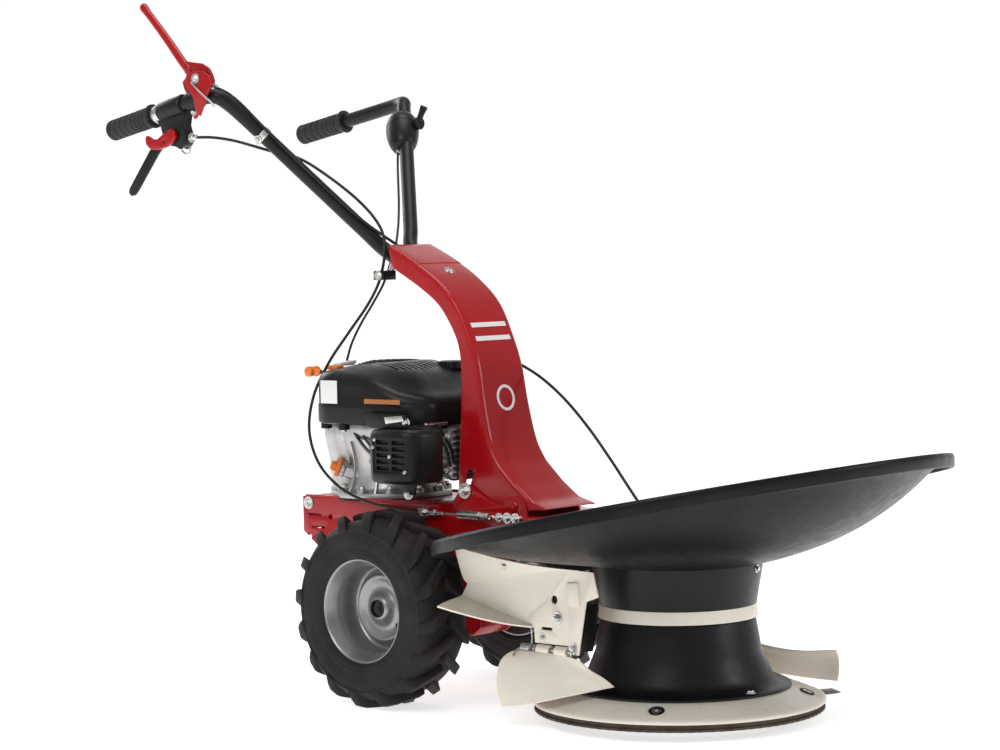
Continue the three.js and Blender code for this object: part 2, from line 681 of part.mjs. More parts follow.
function oilCap() {
  const body = join(
    rod([-97.3, 670.3, 386.2], [-103.2, 676.3, 389.5], 14, 8),
    rod([-103, 676, 389.4], [-108, 681.2, 392.3], 9, 6),
  );
  return piece("oil_cap", body, ORANGE);
}

function recoilHandle() {
  const body = join(
    rod([-104, 708, 556], [-104, 722, 556], 4, 10),
    rod([-118, 728, 556], [-90, 728, 556], 9, 10),
  );
  return piece("recoil_handle", body, ORANGE);
}

function crankshaft() {
  return piece("crankshaft", rod([0, ENGINE.y, 252], [0, ENGINE.y, 385], CRANK.radius, 12), STEEL);
}

// ---------- column and handlebar ----------
// The column widens from its upper part to its foot.
function widenFoot(vertex) {
  const share = THREE.MathUtils.smoothstep(620 - vertex.z, 0, 260);
  vertex.x *= 1 + share * (COLUMN.foot / COLUMN.half - 1);
}

function columnOutline(inset) {
  const front = new THREE.SplineCurve([
    [582, 776], [522, 748], [470, 717], [424, 677], [392, 622], [373, 575], [358, 500], [340, 430],
    [312, 385], [278, 358], [252, 344], [222, 333],
  ].map(([y, z]) => new THREE.Vector2(y, z))).getPoints(22).map((p) => [p.x + inset, p.y - inset]);
  const rear = new THREE.SplineCurve([
    [428, 345], [424, 420], [421, 487], [421, 577], [427, 608], [440, 637], [463, 672], [506, 702],
    [571, 737],
  ].map(([y, z]) => new THREE.Vector2(y, z))).getPoints(12).map((p) => [p.x, p.y]);
  return { front, rear };
}

function column() {
  const outer = columnOutline(0);
  const inner = columnOutline(SHEET);
  const foot = [[222, 331], [250, 331], [286, DECK.top + 1.8], [420, DECK.top + 1.2]];
  const half = COLUMN.half;
  const full = new THREE.ExtrudeGeometry(
    outline([...outer.front, ...foot, ...outer.rear]),
    { depth: 2 * half, bevelEnabled: false },
  );
  const hollow = new THREE.ExtrudeGeometry(
    outline([...inner.front.slice(0, -2), [250, 318], [600, 318], [600, 773]]),
    { depth: 2 * (half - SHEET), bevelEnabled: false },
  );
  const lay = (geometry, x0) => geometry.rotateY(Math.PI / 2).rotateX(Math.PI / 2).translate(x0, 0, 0);
  const shell = cut(
    solid(warped(lay(full, -half), widenFoot)),
    solid(warped(lay(hollow, -half + SHEET), widenFoot)),
  );
  const slot = [];
  for (const [radius, from, to] of [[120, 2.5, 31], [106.5, 31, 2.5]]) {
    for (let i = 0; i <= 5; i += 1) {
      const angle = (from + ((to - from) * i) / 5) * DEG;
      slot.push([COLUMN.pivotY + radius * Math.cos(angle), COLUMN.pivotZ + radius * Math.sin(angle)]);
    }
  }
  const pivot = rod([-90, COLUMN.pivotY, COLUMN.pivotZ], [90, COLUMN.pivotY, COLUMN.pivotZ], 6, 10);
  return piece("column", cut(shell, across(slot, -90, 90), pivot), RED);
}

const BAR_PATH = [
  [30, 488, 699], [30, 530, 723], [29.5, 572, 744.5], [36, 613.6, 770.8], [60, 637.6, 804.2],
  [130, 707.9, 901.4], [201, 779.3, 1000], [222, 802, 1028], [236, 815, 1040], [245, 832, 1041],
  [248, 861, 1036], [242, 974, 1014], [239, 1085, 993],
];

// The path of the hole that sleeves a bar, a little longer than the bar.
const BORE_PATH = [...BAR_PATH.slice(0, -1), [239, 1087, 992.7]];
const BAR_STEPS = 24;

const barBore = (side) => tube(mirrored(BORE_PATH, side), BAR.radius + 0.8, 10, BAR_STEPS);

function handlebar() {
  const bars = SIDES.map((side) => tube(mirrored(BAR_PATH, side), BAR.radius, 10, BAR_STEPS));
  const lowTie = rod([-30, 496, 693], [30, 496, 693], 8, 10);
  const highTie = rod([-30, 556, 723], [30, 556, 723], 8, 10);
  return piece("handlebar", join(...bars, lowTie, highTie), BLACK);
}

// A rubber grip over the end of a bar, cut clear of the bar it sleeves.
function grip(side) {
  const inner = [side * 242, 974, 1014];
  const outer = [side * 239, 1092, 992];
  const sleeve = rod(inner, outer, BAR.grip, 12);
  return piece("grip_" + sideName(side), sleeve.subtract(barBore(side)), RUBBER);
}

// ---------- controls ----------
const CLUTCH_PIVOT = [850, 1074];

function clutchBracket() {
  const ring = rod([-248, 848, 1038.5], [-247.5, 874, 1033.5], 17, 12);
  const post = across([
    [839, 1040], [859, 1007], [869, 1010], [878, 1042], [866, 1062], [860, 1080], [844, 1083], [834, 1068],
  ], -241, -235.4);
  const cheek = across([
    [808, 1045], [828, 1007], [838, 1010], [847, 1040], [858, 1058], [866, 1072], [860, 1084], [819, 1084],
    [801, 1074], [797, 1062],
  ], -266, -262.4);
  const pin = rod([-264, ...CLUTCH_PIVOT], [-226, ...CLUTCH_PIVOT], 4, 10);
  return piece("clutch_lever_bracket", cut(join(ring, post, cheek, pin), barBore(-1)), RED);
}

function clutchLever() {
  const plate = across([
    [836, 1062], [832, 1078], [850, 1097], [897, 1107], [1000, 1211], [1013, 1219], [1024, 1214],
    [1020, 1203], [907, 1092], [872, 1070], [852, 1060],
  ], -235, -229.4);
  const boss = rod([-235, ...CLUTCH_PIVOT], [-227, ...CLUTCH_PIVOT], 10, 10);
  const bore = rod([-250, ...CLUTCH_PIVOT], [-220, ...CLUTCH_PIVOT], 4.4, 10);
  return piece("clutch_lever", cut(join(plate, boss), bore), RED);
}

const DRIVE_PIVOT = [914, 971];

function driveHousing() {
  const clamp = rod([-246, 893, 1030], [-245, 945, 1020], 19, 12);
  const plates = [-252, -238].map((x) => across([
    [880, 966], [897, 951], [942, 977], [948, 996], [966, 1014], [890, 1036], [892, 995],
  ], x, x + 6));
  const web = [[884, 1004], [886, 982], [894, 982], [900, 1006], [946, 1000], [956, 1014]];
  const bridge = across(web, -250, -234);
  const pin = rod([-251, ...DRIVE_PIVOT], [-233, ...DRIVE_PIVOT], 3.5, 12);
  return piece("drive_lever_housing", cut(join(clamp, ...plates, bridge, pin), barBore(-1)), BLACK);
}

function driveLever() {
  const blade = across([
    [905, 974], [907, 962], [918, 959], [950, 962], [962, 953], [1026, 879], [1036, 873], [1045, 879],
    [1040, 890], [985, 954], [966, 970], [935, 976], [914, 981],
  ], -245.4, -238.6);
  const bore = rod([-260, ...DRIVE_PIVOT], [-220, ...DRIVE_PIVOT], 4, 10);
  return piece("drive_lever", cut(blade, bore), BLACK);
}

const LATCH_PIVOT = [922, 971];

function leverLatch() {
  const body = across([
    [906, 986], [901, 973], [924, 956], [954, 952], [972, 957], [981, 968], [979, 978], [960, 974],
    [934, 980],
  ], -259, -252.6);
  const pin = rod([-256, ...LATCH_PIVOT], [-252.4, ...LATCH_PIVOT], 3, 12);
  return piece("lever_latch", join(body, pin), RED);
}

const THROTTLE_PIVOT = [200, 1000];

function throttleHousing() {
  const along = new THREE.Vector3(0.5045, 0.5067, 0.7008);
  const at = (d) => [191 + along.x * d, 776 + along.y * d, 986 + along.z * d];
  const body = rod(at(-42), at(32), 26, 14, 20);
  const [x, z] = THROTTLE_PIVOT;
  const boss = rod([x, 790, z], [x, 747, z], 10, 12);
  return piece("throttle_housing", cut(join(body, boss), barBore(1)), BLACK);
}

function throttleLever() {
  const [x, z] = THROTTLE_PIVOT;
  const hub = rod([x, 746.6, z], [x, 739, z], 12, 10);
  const body = join(hub, rod([x, 741, z + 4], [x - 1, 731, z + 40], 4.5, 8));
  return piece("throttle_lever", body, BLACK);
}

function cableClamp() {
  const body = join(box(-60, -28, 592, 616, 716, 732), rod([-66, 604, 724], [-59, 604, 724], 6, 6));
  const holes = [-51, -38].map((x) => rod([x, 604, 700], [x, 604, 745], 4.8, 12));
  return piece("cable_clamp", cut(body, ...holes), BLACK);
}

// ---------- cables ----------
function driveCable() {
  const path = [
    [-240, 874, 972], [-227, 850, 975], [-206, 812, 970], [-184, 768, 951], [-163, 762, 942],
    [-144, 752, 942], [-131, 730, 938], [-126, 705, 925], [-121, 679, 906], [-110, 641, 884],
    [-90, 617, 856], [-70, 600, 828], [-56, 592, 804], [-50, 590, 782], [-52, 596, 756], [-51, 604, 736],
    [-51, 604, 712], [-61, 620, 676], [-92, 642, 630], [-124, 676, 576], [-140, 704, 516],
    [-140, 722, 452], [-136, 706, 388], [-124, 648, 344], [-120, 590, 327], [-118, 508, 322],
    [-116, 446, 322],
  ];
  return piece("drive_cable", tube(path, 3, 8, 50), RUBBER);
}

function throttleCable() {
  const path = [
    [164, 764, 948], [150, 755, 925], [130, 732, 895], [90, 692, 849], [58, 664, 810], [24, 638, 774],
    [-4, 622, 753], [-26, 611, 741], [-38, 604, 731], [-38, 604, 712], [-42, 630, 678], [-50, 668, 636],
    [-59, 682, 600], [-62, 684, 574],
  ];
  return piece("throttle_cable", tube(path, 2.5, 8, 28), RUBBER);
}

function mowerCable() {
  const path = [
    [-221, 838, 1059], [-213, 812, 1052], [-211, 786, 1036], [-208, 764, 1006], [-165, 720, 945],
    [-122, 677, 885], [-86, 641, 835], [-63, 618, 805], [-30, 610, 790], [-8, 598, 774],
    [0, 580, 757], [0, 546, 738],
    [2, 500, 710], [8, 442, 664], [20, 416, 622], [40, 436, 596], [62, 434, 582], [73, 405, 571],
    [76, 358, 556], [72, 292, 517], [66, 234, 458], [62, 180, 408], [58, 140, 352], [55, 108, 324],
  ];
  return piece("mower_cable", tube(path, 3, 8, 42), RUBBER);
}

// The traction linkage on the deck's right side: adjuster, spring case and hook rod.
function tensionSpring() {
  const x = -116;
  const body = join(
    rod([x, 445, 322], [x, 405, 322], 4.5, 10),
    rod([x, 406, 322], [x, 366, 322], 1.6, 8),
    rod([x, 370, 322], [x, 316, 322], 6.5, 10),
    rod([x, 318, 322], [x, 262, 322], 2.2, 8),
    rod([x, 262, 322], [x + 10.7, 262, 322], 3.5, 12),
  );
  return piece("tension_spring", body, STEEL);
}

// ---------- assembly ----------
const crankAt = { r: CRANK.pulley - BELT.width, y: ENGINE.y };
const mower = new THREE.Group();
mower.add(
  runningGear(), gearboxHousing(), gearboxCover(), wormShaft(),
  transmissionPulley(), crankPulley(),
  pulley("drum_pulley", DRUM.shaft + 0.4, [[DRUM.pulley, BELT.mower]]),
  belt("traction_belt", { r: TRANSMISSION.pulley - BELT.width, y: WORM.y }, crankAt, BELT.traction),
  belt("mower_belt", { r: DRUM.pulley - BELT.width, y: 0 }, { r: crankAt.r + 8, y: ENGINE.y }, BELT.mower),
  chassis(), clampBolt(),
  dish(), headHousing(), upperCone(), drumBand(), drumCone(), cuttingDisc(), knifeDisc(), drumShaft(),
  ...Array.from({ length: DRUM.knives }, (_, i) => knife(i)),
  skidSaucer(), idlerArm(), idlerPulley(),
  ...SIDES.map(sideGuard), ...SIDES.map(swathDeflector),
  crankcase(), cylinderHead(), sparkPlug(), blowerShroud(), airFilterCover(), fuelCap(), mufflerGuard(),
  oilCap(), recoilHandle(), crankshaft(),
  column(), handlebar(), ...SIDES.map(grip),
  clutchBracket(), clutchLever(), driveHousing(), driveLever(), leverLatch(),
  throttleHousing(), throttleLever(), cableClamp(),
  driveCable(), throttleCable(), mowerCable(), tensionSpring(),
);

export default mower;
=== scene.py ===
"""A single-drum brush mower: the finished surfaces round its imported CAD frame.
Pieces are built in millimetres, with +X to the machine's left, +Y to its rear and +Z up."""

import bmesh
import bpy
import json
import math
from mathutils import Matrix, Vector

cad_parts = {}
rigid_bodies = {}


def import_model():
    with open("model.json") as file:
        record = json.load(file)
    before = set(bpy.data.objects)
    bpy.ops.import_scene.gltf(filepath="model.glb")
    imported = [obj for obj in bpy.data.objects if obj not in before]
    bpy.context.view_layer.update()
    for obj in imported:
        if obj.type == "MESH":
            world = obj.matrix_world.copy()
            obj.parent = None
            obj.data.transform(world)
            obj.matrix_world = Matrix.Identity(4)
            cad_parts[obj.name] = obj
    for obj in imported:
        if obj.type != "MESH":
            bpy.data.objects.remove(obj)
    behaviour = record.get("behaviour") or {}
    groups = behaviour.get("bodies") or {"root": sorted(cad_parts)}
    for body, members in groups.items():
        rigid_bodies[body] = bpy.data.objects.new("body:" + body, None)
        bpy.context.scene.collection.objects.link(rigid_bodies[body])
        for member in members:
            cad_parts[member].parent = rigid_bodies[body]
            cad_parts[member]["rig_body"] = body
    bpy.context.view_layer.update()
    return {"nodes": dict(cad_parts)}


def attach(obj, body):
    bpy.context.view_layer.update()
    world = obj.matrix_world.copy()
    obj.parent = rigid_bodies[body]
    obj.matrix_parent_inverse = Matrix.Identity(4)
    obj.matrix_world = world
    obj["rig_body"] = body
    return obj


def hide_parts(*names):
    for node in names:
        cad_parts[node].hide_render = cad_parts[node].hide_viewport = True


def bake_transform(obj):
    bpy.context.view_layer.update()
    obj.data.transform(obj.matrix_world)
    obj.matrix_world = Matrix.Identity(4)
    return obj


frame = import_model()

MM = 0.001
DEG = math.pi / 180
SIDES = ((-1, "right"), (1, "left"))
RIGHT, LEFT = (-1, 0, 0), (1, 0, 0)
FRONT, REAR = (0, -1, 0), (0, 1, 0)
DOWN, UP = (0, 0, -1), (0, 0, 1)

# The camera's heading, and how bright the room's walls are beside the white backdrop.
HEADING = 41.52 * DEG
CAMERA_PLACE = Vector((-3487.5, -2710.1, 786.4))
ROOM, BACKDROP = 0.42, 1.05


# ---------- camera, light and floor ----------
def make_camera():
    """The viewpoint: in front of the machine's right side, a little above the handlebar's height."""
    pitch, roll = 2.89 * DEG, -1.05 * DEG
    forward = Vector((
        math.cos(HEADING) * math.cos(pitch), math.sin(HEADING) * math.cos(pitch), -math.sin(pitch),
    ))
    level = Vector((math.sin(HEADING), -math.cos(HEADING), 0))
    upright = level.cross(forward)
    right = math.cos(roll) * level + math.sin(roll) * upright
    up = math.cos(roll) * upright - math.sin(roll) * level
    data = bpy.data.cameras.new("camera")
    data.lens = 98.04
    data.clip_end = 60
    camera = bpy.data.objects.new("camera", data)
    camera.matrix_world = Matrix((right, up, -forward)).transposed().to_4x4()
    camera.location = CAMERA_PLACE * MM
    bpy.context.scene.collection.objects.link(camera)
    bpy.context.scene.camera = camera


def area_light(name, place, target, size, power):
    data = bpy.data.lights.new(name, "AREA")
    data.shape = "RECTANGLE"
    data.size, data.size_y = size
    data.energy = power
    light = bpy.data.objects.new(name, data)
    light.location = place
    light.rotation_mode = "QUATERNION"
    light.rotation_quaternion = (Vector(target) - Vector(place)).to_track_quat("-Z", "Y")
    bpy.context.scene.collection.objects.link(light)


def make_lights():
    world = bpy.data.worlds.new("studio")
    world.use_nodes = True
    nodes, links = world.node_tree.nodes, world.node_tree.links
    background = nodes["Background"]
    background.inputs["Color"].default_value = (1.0, 1.0, 1.0, 1)
    # A white backdrop behind the machine; the rest of the room is dimmer, and dimmer still overhead.
    heading = nodes.new("ShaderNodeTexCoord")
    towards = nodes.new("ShaderNodeVectorMath")
    towards.operation = "DOT_PRODUCT"
    towards.inputs[1].default_value = (math.cos(HEADING), math.sin(HEADING), -0.15)
    links.new(heading.outputs["Generated"], towards.inputs[0])
    fade = nodes.new("ShaderNodeMapRange")
    for name, value in (("From Min", 0.55), ("From Max", 0.88), ("To Min", ROOM), ("To Max", BACKDROP)):
        fade.inputs[name].default_value = value
    links.new(towards.outputs["Value"], fade.inputs["Value"])
    links.new(fade.outputs["Result"], background.inputs["Strength"])
    bpy.context.scene.world = world
    bpy.context.scene.view_settings.view_transform = "Standard"
    middle = (0, 0.35, 0.5)
    area_light("key", (-3.2, -0.6, 3.4), middle, (2.2, 2.2), 62)
    area_light("fill", (1.6, -3.6, 2.0), middle, (1.6, 1.2), 30)
    area_light("top", (0.4, 0.6, 4.2), middle, (2.0, 2.0), 42)
    area_light("rear", (0.5, 3.6, 1.8), middle, (2.0, 1.4), 20)


def make_floor():
    bpy.ops.mesh.primitive_plane_add(size=60, location=(0, 0, 0))
    floor = bpy.context.object
    floor.name = "floor"
    look = bpy.data.materials.new("floor")
    look.use_nodes = True
    shader = look.node_tree.nodes["Principled BSDF"]
    shader.inputs["Base Color"].default_value = (0.93, 0.93, 0.93, 1)
    shader.inputs["Roughness"].default_value = 0.8
    shader.inputs["Emission Color"].default_value = (1, 1, 1, 1)
    shader.inputs["Emission Strength"].default_value = 0.66
    floor.data.materials.append(look)


# ---------- materials ----------
def look_of(name, color, roughness, metallic=0.0, tint=0.10, patch=9.0, grain=900.0, bump=0.02, spread=0.08,
            dust=0.0, dust_color=(0.35, 0.32, 0.28), coat=0.0, stretch=(1, 1, 1), shine=0.5):
    """A surface whose colour drifts over patches, whose gloss drifts with it, and which has a fine grain.
    dust is the share of pale dirt that gathers on it in blotches."""
    look = bpy.data.materials.new(name)
    look.use_nodes = True
    nodes, links = look.node_tree.nodes, look.node_tree.links
    shader = nodes["Principled BSDF"]
    shader.inputs["Metallic"].default_value = metallic
    shader.inputs["Coat Weight"].default_value = coat
    shader.inputs["Specular IOR Level"].default_value = shine
    shader.inputs["Coat Roughness"].default_value = 0.12
    place = nodes.new("ShaderNodeTexCoord")
    mapping = nodes.new("ShaderNodeMapping")
    mapping.inputs["Scale"].default_value = stretch
    links.new(place.outputs["Object"], mapping.inputs["Vector"])

    def cloud(scale, detail, rough=0.55):
        made = nodes.new("ShaderNodeTexNoise")
        made.inputs["Scale"].default_value = scale
        made.inputs["Detail"].default_value = detail
        made.inputs["Roughness"].default_value = rough
        links.new(mapping.outputs["Vector"], made.inputs["Vector"])
        return made

    def ranged(source, low, high, start=0.3, end=0.7):
        made = nodes.new("ShaderNodeMapRange")
        made.inputs["From Min"].default_value = start
        made.inputs["From Max"].default_value = end
        made.inputs["To Min"].default_value = low
        made.inputs["To Max"].default_value = high
        links.new(source, made.inputs["Value"])
        return made.outputs["Result"]

    drift = cloud(patch, 5)
    ramp = nodes.new("ShaderNodeValToRGB")
    ramp.color_ramp.elements[0].position = 0.3
    ramp.color_ramp.elements[1].position = 0.72
    ramp.color_ramp.elements[0].color = (*[c * (1 - tint) for c in color], 1)
    ramp.color_ramp.elements[1].color = (*[min(1, c * (1 + tint) + 0.02 * tint) for c in color], 1)
    links.new(drift.outputs["Fac"], ramp.inputs["Fac"])
    shade = ramp.outputs["Color"]
    if dust:
        dirt = nodes.new("ShaderNodeMix")
        dirt.data_type = "RGBA"
        dirt.inputs["B"].default_value = (*dust_color, 1)
        links.new(
            ranged(cloud(patch * 2.7, 8, 0.7).outputs["Fac"], 0, dust, 0.42, 0.8), dirt.inputs["Factor"],
        )
        links.new(shade, dirt.inputs["A"])
        shade = dirt.outputs["Result"]
    links.new(shade, shader.inputs["Base Color"])
    gloss = cloud(patch * 6, 6, 0.65)
    links.new(
        ranged(gloss.outputs["Fac"], roughness - spread, roughness + spread), shader.inputs["Roughness"],
    )
    height = nodes.new("ShaderNodeBump")
    height.inputs["Strength"].default_value = 0.35
    height.inputs["Distance"].default_value = bump * MM
    links.new(cloud(grain, 3).outputs["Fac"], height.inputs["Height"])
    links.new(height.outputs["Normal"], shader.inputs["Normal"])
    return look


RED = look_of(
    "red_paint", (0.38, 0.0035, 0.007), 0.20, tint=0.08, grain=420, bump=0.03, spread=0.05, coat=0.15,
    dust=0.03, dust_color=(0.30, 0.06, 0.05), shine=0.32,
)
CREAM = look_of(
    "cream_paint", (0.90, 0.83, 0.715), 0.32, tint=0.03, grain=500, bump=0.04, coat=0.1, dust=0.05,
    dust_color=(0.55, 0.48, 0.38), shine=0.4,
)
DISH_PLASTIC = look_of(
    "dish_plastic", (0.0050, 0.0054, 0.0066), 0.36, tint=0.2, grain=1400, bump=0.07, dust=0.06,
    dust_color=(0.020, 0.021, 0.024), shine=0.15,
)
BLACK_PLASTIC = look_of(
    "black_plastic", (0.0075, 0.0072, 0.0074), 0.34, tint=0.2, grain=1800, bump=0.10, dust=0.06,
    dust_color=(0.035, 0.032, 0.03), shine=0.24,
)
BLACK_PAINT = look_of(
    "black_paint", (0.0060, 0.0060, 0.0065), 0.38, tint=0.15, grain=600, bump=0.02, spread=0.05, dust=0.02,
    dust_color=(0.02, 0.02, 0.02), shine=0.26,
)
TYRE = look_of(
    "tyre_rubber", (0.0150, 0.0130, 0.0118), 0.62, tint=0.30, patch=14, grain=1500, bump=0.16, dust=0.20,
    dust_color=(0.030, 0.027, 0.024), shine=0.2,
)
GRIP = look_of(
    "grip_rubber", (0.026, 0.026, 0.027), 0.60, tint=0.15, grain=1600, bump=0.14, dust=0.15,
    dust_color=(0.07, 0.07, 0.07), shine=0.25,
)
BELT = look_of(
    "belt_rubber", (0.02, 0.02, 0.02), 0.8, tint=0.25, grain=1200, bump=0.15, dust=0.2,
    dust_color=(0.12, 0.11, 0.1),
)
SHEATH = look_of(
    "cable_sheath", (0.008, 0.008, 0.009), 0.38, tint=0.2, grain=1500, bump=0.05, dust=0.05, shine=0.3,
)
RIM = look_of(
    "rim_paint", (0.33, 0.33, 0.335), 0.34, 0.75, tint=0.10, grain=1500, bump=0.06, dust=0.10,
    dust_color=(0.25, 0.24, 0.22),
)
ZINC = look_of(
    "zinc_steel", (0.62, 0.62, 0.60), 0.30, 1.0, tint=0.12, patch=40, grain=900, bump=0.03, dust=0.08,
    dust_color=(0.4, 0.36, 0.3),
)
STEEL = look_of(
    "blade_steel", (0.30, 0.30, 0.30), 0.42, 0.95, tint=0.25, patch=22, grain=300, bump=0.05, dust=0.25,
    dust_color=(0.16, 0.12, 0.09), stretch=(1, 4, 1),
)
WORN = look_of(
    "worn_steel", (0.085, 0.066, 0.050), 0.55, 0.6, tint=0.35, patch=40, grain=260, bump=0.12, dust=0.35,
    dust_color=(0.11, 0.075, 0.045), shine=0.3,
)
BRONZE = look_of("bronze", (0.45, 0.30, 0.12), 0.35, 1.0, tint=0.15, grain=700, bump=0.04)
CASTING = look_of(
    "aluminium_casting", (0.52, 0.515, 0.51), 0.42, 0.9, tint=0.12, patch=20, grain=480, bump=0.30, dust=0.12,
    dust_color=(0.40, 0.38, 0.35),
)
ORANGE = look_of("orange_plastic", (0.85, 0.20, 0.02), 0.40, tint=0.08, grain=1200, bump=0.06, coat=0.1)
LABEL = look_of("blank_label", (0.82, 0.82, 0.80), 0.45, tint=0.03, grain=900, bump=0.02, dust=0.08)
AMBER = look_of("amber_strip", (0.42, 0.13, 0.03), 0.45, tint=0.06, grain=900, bump=0.02)
# The record's slots. Blender numbers a material whose name the frame's own already has.
SLOTS = {
    look: look.name.split(".")[0]
    for look in (
        RED, CREAM, BLACK_PLASTIC, BLACK_PAINT, TYRE, GRIP, BELT, SHEATH, RIM, ZINC, STEEL, BRONZE, CASTING,
        ORANGE,
    )
}
SLOTS |= {DISH_PLASTIC: "black_plastic", WORN: "blade_steel"}


# ---------- curves ----------
def spline(points, steps):
    """Points along a smooth curve that passes through all the given ones, steps to each span."""
    points = [Vector(p) for p in points]
    ends = [2 * points[0] - points[1], *points, 2 * points[-1] - points[-2]]
    made = []
    for i in range(len(points) - 1):
        a, b, c, d = ends[i : i + 4]
        knots = [0.0]
        for p, q in ((a, b), (b, c), (c, d)):
            knots.append(knots[-1] + max((q - p).length, 1e-6) ** 0.5)
        t0, t1, t2, t3 = knots
        for k in range(steps):
            t = t1 + (t2 - t1) * k / steps
            ab = a * ((t1 - t) / (t1 - t0)) + b * ((t - t0) / (t1 - t0))
            bc = b * ((t2 - t) / (t2 - t1)) + c * ((t - t1) / (t2 - t1))
            cd = c * ((t3 - t) / (t3 - t2)) + d * ((t - t2) / (t3 - t2))
            abc = ab * ((t2 - t) / (t2 - t0)) + bc * ((t - t0) / (t2 - t0))
            bcd = bc * ((t3 - t) / (t3 - t1)) + cd * ((t - t1) / (t3 - t1))
            made.append(abc * ((t2 - t) / (t2 - t1)) + bcd * ((t - t1) / (t2 - t1)))
    return [*made, points[-1]]


def arc(cx, cy, radius, start, end, count):
    """Points on a circle from one angle to another, in degrees."""
    turns = [(start + (end - start) * i / count) * DEG for i in range(count + 1)]
    return [(cx + radius * math.cos(turn), cy + radius * math.sin(turn)) for turn in turns]


def rounded(points, steps=4):
    """A smooth line through flat points, as (u, v) pairs."""
    return [(p.x, p.y) for p in spline([(u, v, 0) for u, v in points], steps)]


def polar(radius, degrees, height=0.0):
    """The point at a radius and an angle round the Z axis."""
    return Vector((radius * math.cos(degrees * DEG), radius * math.sin(degrees * DEG), height))


def span(side, near, far):
    """The lower and the upper x of a slab on one side of the machine."""
    return sorted((side * near, side * far))


def basis(axis):
    """A matrix that turns +Z to the axis."""
    return Vector(axis).normalized().to_track_quat("Z", "Y").to_matrix().to_4x4()


def smoothstep(value, low, high):
    share = min(1.0, max(0.0, (value - low) / (high - low)))
    return share * share * (3 - 2 * share)


